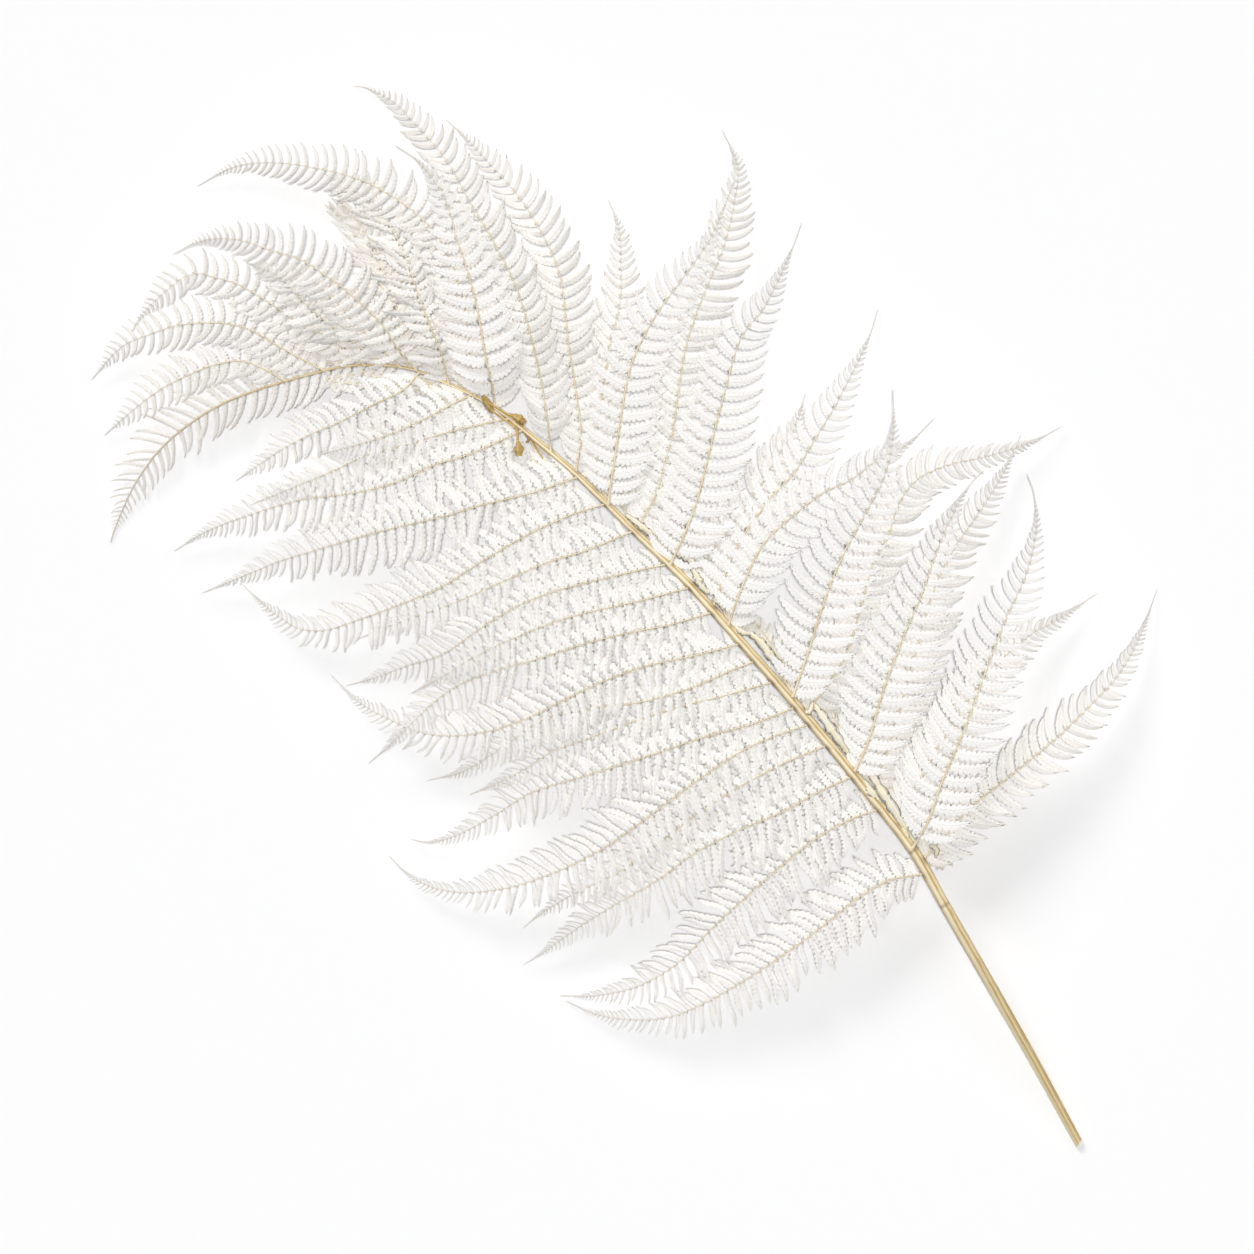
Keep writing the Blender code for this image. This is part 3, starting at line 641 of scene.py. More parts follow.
@dataclass(frozen=True)
class StalkFinish:
    """Dry stalk: straw gold in lengthwise fibres, with a groove, pale ridges and brown marks."""

    name: str
    body: Colour
    pale: Colour
    dark: Colour
    far: Colour
    mark: Colour = (0.22, 0.12, 0.04)
    far_start: float = 0.5
    blotch: float = 0.35
    fibres: float = 14.0
    stretch: float = 60.0
    roughness: float = 0.48
    groove_at: float = 0.30

    PATCHES = {"scale": 60.0, "low": 0.3, "high": 0.7}
    PALE_SPAN = (0.35, 0.68)
    GROOVE_BAND = (0.0, 0.05, 0.75, 0.0)
    RIDGE_AT = 0.42
    RIDGE_BAND = (0.0, 0.07, 0.6, 0.0)
    ROUGHNESS_SPREAD = 0.2

    def build(self, effects: SharedEffects) -> Material:
        """Make the material.

        Args:
            effects: The shared shader groups.

        Returns:
            The material.
        """
        graph = ShaderGraph(self.name)
        along, around = graph.trait("along"), graph.trait("around")
        streak = graph.effect(effects.fibre, along=along, around=around, length=self.stretch,
                              count=self.fibres)
        patch = graph.effect(effects.mottling, **self.PATCHES)
        off_groove, off_ridge = (graph.math("ABSOLUTE", graph.math("SUBTRACT", around, place))
                                 for place in (self.groove_at, self.RIDGE_AT))
        graph.feed("Base Color", graph.paint(
            self.body,
            (graph.ramp(streak, *self.PALE_SPAN), self.pale),
            (graph.math("MULTIPLY", patch, self.blotch), self.dark),
            (graph.ramp(off_groove, *self.GROOVE_BAND), self.dark),
            (graph.ramp(off_ridge, *self.RIDGE_BAND), self.pale),
            (graph.ramp(along, self.far_start, 1.0), self.far),
            (graph.trait("mark"), self.mark)))
        graph.feed("Roughness", graph.math(
            "MULTIPLY_ADD", streak, self.ROUGHNESS_SPREAD, self.roughness))
        graph.relief(streak, depth=0.15 * MM, strength=0.5)
        return graph.material


@dataclass(frozen=True)
class WitheredFinish:
    """Withered leaflet: cream yellow with browned edges."""

    name: str = "withered_leaf"
    middle: Colour = (0.96, 0.90, 0.70)
    edge: Colour = (0.86, 0.69, 0.38)
    pale: Colour = (0.98, 0.95, 0.87)
    vein_band: Band = (0.04, 0.20, 0.80, 0.0)
    rim_band: Band = (0.75, 1.0, 0.0, 0.8)
    rim_breaks: Span = (0.3, 0.6)
    roughness: float = 0.6
    roughness_spread: float = 0.15

    FIBRES = {"length": 8.0, "count": 5.0}
    PATCHES = {"scale": 120.0, "low": 0.35, "high": 0.65}

    def build(self, effects: SharedEffects) -> Material:
        """Make the material.

        Args:
            effects: The shared shader groups.

        Returns:
            The material.
        """
        graph = ShaderGraph(self.name)
        out, signed = graph.trait("leaf_out"), graph.trait("leaf_across")
        across = graph.math("ABSOLUTE", signed)
        streak = graph.effect(effects.fibre, along=out, around=signed, **self.FIBRES)
        patch = graph.effect(effects.mottling, **self.PATCHES)
        rim = graph.math("MULTIPLY", graph.ramp(across, *self.rim_band),
                         graph.ramp(streak, *self.rim_breaks))
        graph.feed("Base Color", graph.paint(
            self.middle,
            (patch, self.pale),
            (graph.ramp(across, *self.vein_band), self.edge),
            (rim, self.edge)))
        graph.feed("Roughness", graph.math(
            "MULTIPLY_ADD", patch, self.roughness_spread, self.roughness))
        graph.relief(streak, depth=0.2 * MM, strength=0.5)
        return graph.material


@dataclass(frozen=True)
class GroundFinish:
    """Plain pale ground, which doesn't show from below."""

    name: str = "pale_ground"
    colour: Colour = (0.96, 0.96, 0.965)
    roughness: float = 0.9
    specular: float = 0.1

    def build(self) -> Material:
        """Make the material.

        Returns:
            The material.
        """
        graph = ShaderGraph(self.name)
        graph.feed("Base Color", self.colour)
        graph.feed("Roughness", self.roughness)
        graph.feed("Specular IOR Level", self.specular)
        clear = graph.out("ShaderNodeBsdfTransparent")
        below = graph.add("ShaderNodeNewGeometry").outputs["Backfacing"]
        blend = graph.out("ShaderNodeMixShader", {0: below, 1: graph.shader.outputs[0], 2: clear})
        output = graph.tree.nodes["Material Output"]
        graph.tree.links.new(blend, output.inputs["Surface"])
        return graph.material


def put_in_scene(name: str, data: ID) -> Object:
    """Make an object of a mesh, a lamp or a camera, and put it into the scene.

    Args:
        name: The object's name.
        data: What it shows.

    Returns:
        The object.
    """
    item = bpy.data.objects.new(name, data)
    bpy.context.scene.collection.objects.link(item)
    return item


def declare(piece: Object, slot: str, *nodes: str) -> None:
    """Hand a finished piece to the frame.

    Args:
        piece: The piece, at the origin, with its place in its mesh.
        slot: Name of a material slot of the record; not used.
        nodes: The solids that it stands for.
    """
    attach(piece, BODY)
    if nodes:
        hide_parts(*nodes)
    piece.data.calc_loop_triangles()
    LOG.info("%s: %d triangles", piece.name, len(piece.data.loop_triangles))


def grow(name: str, source: Mesh, tree: NodeTree, values: Mapping[str, object]) -> Object:
    """Run a Geometry Nodes tree on a mesh and keep its result as a plain mesh.

    Args:
        name: Name of the piece.
        source: The mesh that goes into the tree.
        tree: The tree.
        values: The tree's inputs, by their names.

    Returns:
        The piece, with no modifier.
    """
    piece = put_in_scene(name, source)
    modifier = piece.modifiers.new("growth", "NODES")
    modifier.node_group = tree
    sockets = {s.name: s.identifier for s in tree.interface.items_tree
               if s.item_type == "SOCKET" and s.in_out == "INPUT"}
    for label, value in values.items():
        modifier[sockets[label]] = value
    graph = bpy.context.evaluated_depsgraph_get()
    mesh = bpy.data.meshes.new_from_object(
        piece.evaluated_get(graph), preserve_all_data_layers=True, depsgraph=graph)
    piece.modifiers.clear()
    piece.data = mesh
    mesh.name = name
    bpy.data.meshes.remove(source)
    return piece


def keep_off_floor(mesh: Mesh) -> None:
    """Bring the points that would sink into the surface up onto it.

    Args:
        mesh: The mesh to change.
    """
    places = np.zeros(len(mesh.vertices) * 3, np.float32)
    mesh.vertices.foreach_get("co", places)
    heights = places[2::3]
    low = heights < FLOOR_CLEARANCE
    heights[low] = FLOOR_CLEARANCE + SINKING_LEFT * (FLOOR_CLEARANCE - heights[low])
    mesh.vertices.foreach_set("co", places)
    mesh.update()


def point_mesh(name: str, points: Sequence[Vector], breaks: Sequence[int],
               traits: Mapping[str, Sequence]) -> Mesh:
    """A mesh of points joined in lines, with named values on its points.

    Args:
        name: Name of the mesh.
        points: The points, in order.
        breaks: Numbers of the points that start a new line.
        traits: Name to one value a point: a number, True or False, a whole number or a vector.

    Returns:
        The mesh.
    """
    mesh = bpy.data.meshes.new(name)
    starts = set(breaks)
    edges = [(i - 1, i) for i in range(1, len(points)) if i not in starts]
    mesh.from_pydata([tuple(p) for p in points], edges, [])
    for label, values in traits.items():
        kind = next(kind for sort, kind in ATTRIBUTE_KINDS if isinstance(values[0], sort))
        layer = mesh.attributes.new(label, kind, "POINT")
        layer.data.foreach_set("vector" if kind == "FLOAT_VECTOR" else "value",
                               np.array(values).ravel())
    return mesh


@dataclass(frozen=True)
class LeafletPattern:
    """The form of a leaflet that is one unit long and one unit wide.

    Its seed also sets where its sway and its waves start.
    """

    lobes: int = 8
    notch: float = 0.28
    bend: float = math.radians(40)
    droop: float = 0.06
    fold: float = 0.030
    pillow: float = 0.010
    ripple: float = 0.004
    twist: float = 0.0
    sway: float = 0.0
    wave: float = 0.0
    root_width: float = 0.96
    bluntness: float = 2.6
    thickness: float = 0.011
    seed: int = 0

    TIP_START = 0.95
    WIDTH_TO_LENGTH = 0.26
    LOBE_POINTS = (0.34, 0.76)
    SWAY_TURNS = 1.1
    WAVE_TURNS = 1.4
    ROOT_ZONE = 0.12
    END_ROUNDNESS = 0.95
    NOTCH_DEPTHS = (0.6, 1.3)
    # How strongly each notch is marked: the leaf finish paints shade into the notches by this value
    # and sets its brown specks by it.
    NOTCH_STAIN_AND_SHADE = (0.3, 1.0)
    ROOT_STAIN_AND_SHADE = 0.2
    LOBE_FULLNESS = (0.93, 1.07)

    def half_width(self, out: float) -> float:
        """Half the width at a share of the length."""
        swell = min(1.0, self.root_width + (1 - self.root_width) * out / self.ROOT_ZONE)
        return 0.5 * swell * (1 - out ** self.bluntness) ** self.END_ROUNDNESS

    def place(self, out: float, across: float, lift: float, forward: int) -> Vector:
        """Where a point of the leaflet lies once it is bent, folded and twisted.

        Args:
            out: Share of the length, from the root.
            across: Distance from the middle vein, in widths.
            lift: Height over the leaflet's surface.
            forward: 1 or -1, the way that the leaflet bends.

        Returns:
            The point.
        """
        angle = self.bend * out
        turn = self.twist * out
        beside = across * math.cos(turn) * self.WIDTH_TO_LENGTH
        swing = math.sin(math.tau * self.SWAY_TURNS * out + self.seed) - math.sin(self.seed)
        x = math.sin(angle) / self.bend - forward * math.sin(angle) * beside
        y = forward * (1 - math.cos(angle)) / self.bend + math.cos(angle) * beside
        y += self.sway * swing
        z = across * math.sin(turn) * self.WIDTH_TO_LENGTH * forward
        z += lift - self.droop * out ** 2 - self.fold * (2 * across) ** 2
        z += self.wave * math.sin(math.tau * self.WAVE_TURNS * out + 2 * self.seed) * out ** 0.5
        return Vector((x, y / self.WIDTH_TO_LENGTH, z))

    def mesh(self, name: str, side: Side) -> Mesh:
        """Build the leaflet as a thin closed shell with scalloped edges.

        Args:
            name: Name of the mesh.
            side: The side of the midrib that it grows on, which sets the way that it bends.

        Returns:
            The mesh, with its places out from the root and across as attributes.
        """
        draw = random.Random(self.seed)
        forward = -side.value
        shape = bmesh.new()
        layers = [shape.verts.layers.float.new(label)
                  for label in ("leaf_out", "leaf_across", "leaf_notch")]

        def vertex(out: float, sign: int, half: float, lift: float,
                   notch: float = 0.0) -> bmesh.types.BMVert:
            """Add a point of the shell.

            Args:
                out: Share of the length, from the root.
                sign: Side of the middle vein, 1 or -1, or 0 on the vein.
                half: Distance from the middle vein, in widths.
                lift: Height over the leaflet's surface.
                notch: How far it lies in a notch, from 0 to 1.

            Returns:
                The point.
            """
            point = shape.verts.new(self.place(out, sign * half, lift, forward))
            for layer, value in zip(layers, (out, float(sign), notch)):
                point[layer] = value
            return point

        step = self.TIP_START / self.lobes
        outs = [step * k for k in range(self.lobes + 1)]
        top = [vertex(u, 0, 0.0, self.thickness / 2) for u in outs]
        bottom = [vertex(u, 0, 0.0, -self.thickness / 2) for u in outs]
        tip = vertex(1.0, 0, 0.0, 0.0)
        rims = {}
        for sign in (1, -1):
            rim = []
            for k, out in enumerate(outs):
                depth = self.notch * draw.uniform(*self.NOTCH_DEPTHS) if k else 0.0
                lift = self.ripple * draw.uniform(-1, 1) - self.pillow
                half = self.half_width(out) * (1 - depth)
                stain_and_shade = draw.uniform(*self.NOTCH_STAIN_AND_SHADE) if k else self.ROOT_STAIN_AND_SHADE
                rim.append([vertex(out, sign, half, lift, stain_and_shade)])
                if k < self.lobes:
                    fullness = draw.uniform(*self.LOBE_FULLNESS)
                    for share in self.LOBE_POINTS:
                        lobe = out + step * share
                        lift = self.ripple * draw.uniform(-1, 1)
                        rim[-1].append(vertex(lobe, sign, self.half_width(lobe) * fullness, lift))
            rims[sign] = rim
        for sign in (1, -1):
            rim = rims[sign]
            for k in range(self.lobes):
                loop = [top[k], top[k + 1], rim[k + 1][0], rim[k][2], rim[k][1], rim[k][0]]
                under = [bottom[k], bottom[k + 1]] + loop[2:]
                shape.faces.new(loop if sign > 0 else loop[::-1])
                shape.faces.new(under[::-1] if sign > 0 else under)
            last = rim[-1][0]
            above, below = [top[-1], tip, last], [bottom[-1], tip, last]
            shape.faces.new(above if sign > 0 else above[::-1])
            shape.faces.new(below[::-1] if sign > 0 else below)
        shape.faces.new([top[0], rims[1][0][0], bottom[0], rims[-1][0][0]])
        for face in shape.faces:
            face.smooth = True
        for edge in shape.edges:
            edge.smooth = any(v[layers[1]] == 0 for v in edge.verts)
        mesh = bpy.data.meshes.new(name)
        shape.to_mesh(mesh)
        shape.free()
        return mesh


@dataclass
class PatternSet:
    """Leaflets of one habit: a few large, middle-sized and small ones, one collection a side."""

    name: str
    large: Sequence[LeafletPattern]
    middle: Sequence[LeafletPattern]
    small: Sequence[LeafletPattern]
    groups: dict = field(default_factory=dict)

    LARGE_FROM = 11 * MM
    MIDDLE_FROM = 5 * MM

    def build(self) -> None:
        """Make the leaflets and put them into their collections."""
        for side in Side:
            group = bpy.data.collections.new(f"{self.name}_{side.name.lower()}")
            patterns = [*self.large, *self.middle, *self.small]
            for number, pattern in enumerate(patterns):
                name = f"{group.name}_{number:02d}"
                group.objects.link(bpy.data.objects.new(name, pattern.mesh(name, side)))
            self.groups[side] = group

    def picks(self, reach: float) -> tuple[int, int]:
        """Choose the leaflets that suit a length.

        Args:
            reach: The length.

        Returns:
            The first and the last of their numbers.
        """
        counts = [len(self.large), len(self.middle), len(self.small)]
        rank = 0 if reach > self.LARGE_FROM else 1 if reach > self.MIDDLE_FROM else 2
        return sum(counts[:rank]), sum(counts[:rank + 1]) - 1

    def discard(self) -> None:
        """Remove the leaflets once every pinna has its own."""
        for group in self.groups.values():
            for item in list(group.objects):
                bpy.data.meshes.remove(item.data)
            bpy.data.collections.remove(group)


@dataclass(frozen=True)
class Growth:
    """What a leafy piece grows from: the tree, the leaflets of its habit and the finishes."""

    tree: NodeTree
    patterns: PatternSet
    leaf: Material
    rib: Material

    def leafy(self, name: str, source: Mesh, values: dict[str, object]) -> Object:
        """Grow leaflets along the lines of a mesh.

        Args:
            name: Name of the piece.
            source: The lines, with the values that the tree reads on their points.
            values: The tree's other inputs, by their names.

        Returns:
            The piece.
        """
        piece = grow(name, source, self.tree, values | {
            "Left Patterns": self.patterns.groups[Side.LEFT],
            "Right Patterns": self.patterns.groups[Side.RIGHT],
            "Leaf Finish": self.leaf, "Finish": self.rib})
        keep_off_floor(piece.data)
        return piece


@dataclass(frozen=True)
class StalkTree:
    """Geometry Nodes tree that sweeps a grooved round along lines of points."""

    sides: int = 18
    groove_depth: float = 0.2
    groove_place: float = 0.3
    groove_reach: float = 0.09
    rib_depth: float = 0.03
    ribs: float = 9.0

    def sockets(self) -> dict[str, object]:
        """List the tree's inputs.

        Returns:
            Name of each input to its usual value, or to its socket type and usual value.
        """
        return {
            "Geometry": ("NodeSocketGeometry", None), "Finish": ("NodeSocketMaterial", None),
            "Sides": ("NodeSocketInt", self.sides), "Groove Depth": self.groove_depth,
            "Groove Place": self.groove_place, "Rib Depth": self.rib_depth, "Ribs": self.ribs}

    def build(self) -> NodeTree:
        """Make the tree.

        Returns:
            The tree. Its points carry girth, along and mark.
        """
        graph, given = GeometryGraph.group("grooved_stalk", self.sockets(), GeometryGraph.OUTPUT)
        graph.close(self.sweep(graph, given, given["Geometry"]))
        return graph.tree

    def sweep(self, graph: GeometryGraph, given: Mapping, lines: NodeSocket) -> NodeSocket:
        """Sweep the stalk along the lines.

        Args:
            graph: The tree's graph.
            given: The tree's inputs.
            lines: The output that gives the lines of points.

        Returns:
            The swept mesh, with its finish.
        """
        curve = graph.out("GeometryNodeMeshToCurve", {0: lines})
        curve = graph.out("GeometryNodeSetCurveNormal", {0: curve}, mode="Z_UP")
        ring = graph.out("GeometryNodeCurvePrimitiveCircle", {0: given["Sides"], 4: 1.0})
        around = graph.out("GeometryNodeSplineParameter")
        ring = graph.keep(ring, "around", around, "POINT")
        off = graph.math("ABSOLUTE", graph.math("SUBTRACT", around, given["Groove Place"]))
        groove = graph.math("MULTIPLY", graph.ramp(off, 0.0, self.groove_reach, 1.0, 0.0),
                            given["Groove Depth"])
        turn = graph.math("MULTIPLY", graph.math("MULTIPLY", around, math.tau), given["Ribs"])
        rib = graph.math("MULTIPLY", graph.math("SINE", turn), given["Rib Depth"])
        scale = graph.math("SUBTRACT", graph.math("ADD", rib, 1.0), groove)
        place = graph.vector("SCALE", a=graph.out("GeometryNodeInputPosition"), scale=scale)
        ring = graph.out("GeometryNodeSetPosition", {0: ring, 2: place})
        swept = graph.out("GeometryNodeCurveToMesh", {
            0: curve, 1: ring, 2: graph.named("girth"), 3: True})
        smooth = graph.out("GeometryNodeSetShadeSmooth", {0: swept, 2: True})
        return graph.out("GeometryNodeSetMaterial", {0: smooth, 2: given["Finish"]})


class PinnaTree:
    """Geometry Nodes tree that grows leaflets on both sides of a midrib, and the midrib."""

    MIDRIB = StalkTree(sides=6, groove_depth=0.0, rib_depth=0.0, ribs=3.0)
    JITTERS = {"Lean Jitter": 0.05, "Rise Jitter": 0.02, "Roll Jitter": 0.05,
               "Length Jitter": 0.05}
    DRAWS = (*JITTERS, "Pick", "Tone")
    SIDE_SOCKETS = {"Patterns": ("NodeSocketCollection", None), "Lean Root": 1.2,
                    "Lean Tip": 0.9, "Rise": 0.0, "Roll": 0.0, "Length": 1.0}
    SEEDS_APART = 10

    def build(self) -> NodeTree:
        """Make the tree.

        Returns:
            The tree. Its points carry tangent, left_reach, right_reach, spread, along, girth,
            carries, pick_low and pick_high.
        """
        sockets = self.MIDRIB.sockets() | self.JITTERS | {
            "Leaf Finish": ("NodeSocketMaterial", None), "Seed": ("NodeSocketInt", 1),
            "Rib Lift": 0.0}
        for label, (name, usual) in itertools.product(("Left", "Right"), self.SIDE_SOCKETS.items()):
            sockets[f"{label} {name}"] = usual
        graph, given = GeometryGraph.group("pinna_leaflets", sockets, GeometryGraph.OUTPUT)
        leaflets = graph.join(*(self._leaflets(graph, given, side) for side in Side))
        real = graph.out("GeometryNodeRealizeInstances", {0: leaflets})
        leaves = graph.out("GeometryNodeSetMaterial", {0: real, 2: given["Leaf Finish"]})
        lift = graph.out("ShaderNodeCombineXYZ", {2: given["Rib Lift"]})
        lifted = graph.out("GeometryNodeSetPosition", {0: given["Geometry"], 3: lift})
        graph.close(graph.join(leaves, self.MIDRIB.sweep(graph, given, lifted)))
        return graph.tree

    def _leaflets(self, graph: GeometryGraph, given: Mapping, side: Side) -> NodeSocket:
        """Place the leaflets of one side.

        Args:
            graph: The tree's graph.
            given: The tree's inputs.
            side: The side, looking from the pinna's root to its tip.

        Returns:
            The instances.
        """
        label = side.name.title()

        def seed(draw: str) -> NodeSocket:
            """Seed of one of the random draws on this side."""
            number = self.DRAWS.index(draw) + 1 + self.SEEDS_APART * side.value
            return graph.math("ADD", given["Seed"], number)

        def jitter(name: str) -> NodeSocket:
            """Random share of one of the jitters, up or down."""
            return graph.math("MULTIPLY", graph.chance(-1.0, 1.0, seed(name)), given[name])

        root, tip = given[f"{label} Lean Root"], given[f"{label} Lean Tip"]
        lean = graph.math("MULTIPLY_ADD", graph.math("SUBTRACT", tip, root),
                          graph.named("along"), root)
        lean = graph.math("ADD", lean, jitter("Lean Jitter"))
        tangent = graph.named("tangent", "FLOAT_VECTOR")
        beside = graph.vector("CROSS_PRODUCT", a=UP, b=tangent)
        sine = graph.math("SINE", lean)
        forward = graph.vector("SCALE", a=tangent, scale=graph.math("COSINE", lean))
        outward = graph.vector("SCALE", a=beside,
                               scale=graph.math("MULTIPLY", sine, float(side.value)))
        rise = graph.math("ADD", given[f"{label} Rise"], jitter("Rise Jitter"))
        lift = graph.out("ShaderNodeCombineXYZ", {2: graph.math("MULTIPLY", rise, sine)})
        way = graph.vector("ADD", a=graph.vector("ADD", a=forward, b=outward), b=lift)
        facing = graph.out("FunctionNodeAxesToRotation", {0: way, 1: UP},
                           primary_axis="X", secondary_axis="Z")
        roll = graph.math("ADD", given[f"{label} Roll"], jitter("Roll Jitter"))
        roll = graph.math("MULTIPLY", roll, float(-side.value))
        by = graph.out("FunctionNodeAxisAngleToRotation", {0: X_AXIS, 1: roll})
        turned = graph.out("FunctionNodeRotateRotation", {0: facing, 1: by},
                           rotation_space="LOCAL")
        reach = graph.math("MULTIPLY", graph.named(f"{side.name.lower()}_reach"),
                           given[f"{label} Length"])
        reach = graph.math("MULTIPLY", reach, graph.math("ADD", jitter("Length Jitter"), 1.0))
        spread = graph.math("MINIMUM", graph.named("spread"), reach)
        size = graph.out("ShaderNodeCombineXYZ", {0: reach, 1: spread, 2: reach})
        patterns = graph.out("GeometryNodeCollectionInfo", {
            0: given[f"{label} Patterns"], 1: True, 2: True})
        pick = graph.chance(graph.named("pick_low", "INT"), graph.named("pick_high", "INT"),
                            seed("Pick"), "INT")
        placed = graph.out("GeometryNodeInstanceOnPoints", {
            0: given["Geometry"], 1: graph.named("carries", "BOOLEAN"), 2: patterns, 3: True,
            4: pick, 5: turned, 6: size})
        return graph.keep(placed, "tone", graph.chance(0.0, 1.0, seed("Tone")), "INSTANCE")


@dataclass(frozen=True)
class HabitSizes:
    """Sizes that the pinnae of one habit share, angles in degrees.

    Front is the side towards the frond's tip. Each lean is the leaflet's angle to the midrib
    where it leaves it, at the pinna's root and at its tip.
    """

    spacing: float
    fill: float
    lean_front: Span
    lean_back: Span
    roll_front: float
    roll_back: float
    lean_jitter: float
    roll_jitter: float
    length_jitter: float
    girth: float
    taper: tuple[float, float]
    length_front: float = 1.0
    length_back: float = 1.0
    bare: float = 3 * MM
    root_reach: float = 0.68
    root_run: float = 25 * MM


HABITS = {
    Habit.FLAT: HabitSizes(
        spacing=7.4 * MM, fill=0.99, girth=0.56 * MM, taper=(4.2, 2.7), lean_front=(90, 66),
        lean_back=(94, 70), roll_front=3, roll_back=3, lean_jitter=2.5, roll_jitter=4.5,
        length_jitter=0.06),
    Habit.LOOSE: HabitSizes(
        spacing=5.6 * MM, fill=1.06, girth=0.40 * MM, taper=(5.0, 2.1), lean_front=(80, 60),
        lean_back=(94, 72), roll_front=7, roll_back=8, lean_jitter=6.5, roll_jitter=12.0,
        length_jitter=0.12),
    Habit.CRUMPLED: HabitSizes(
        spacing=3.5 * MM, fill=1.20, girth=0.38 * MM, taper=(6.0, 1.8), lean_front=(68, 50),
        lean_back=(78, 60), roll_front=10, roll_back=12, lean_jitter=20.0, roll_jitter=20.0,
        length_jitter=0.25),
    Habit.OUTER: HabitSizes(
        spacing=5.2 * MM, fill=0.86, girth=0.36 * MM, taper=(7.0, 2.4), lean_front=(88, 70),
        lean_back=(104, 84), roll_front=6, roll_back=6, lean_jitter=5.5, roll_jitter=12.0,
        length_jitter=0.12),
    Habit.ROLLED: HabitSizes(
        spacing=5.2 * MM, fill=0.88, girth=0.38 * MM, taper=(4.0, 1.7), lean_front=(76, 58),
        lean_back=(86, 68), roll_front=4, roll_back=4, lean_jitter=8.0, roll_jitter=12.0,
        length_jitter=0.16, bare=5 * MM, root_reach=0.45, root_run=28 * MM),
    Habit.LEAFY_END: HabitSizes(
        spacing=5.5 * MM, fill=0.72, girth=0.40 * MM, taper=(6.0, 1.8), lean_front=(82, 66),
        lean_back=(76, 62), roll_front=12, roll_back=8, lean_jitter=9.0, roll_jitter=16.0,
        length_jitter=0.16, length_back=1.35, root_reach=0.95),
}


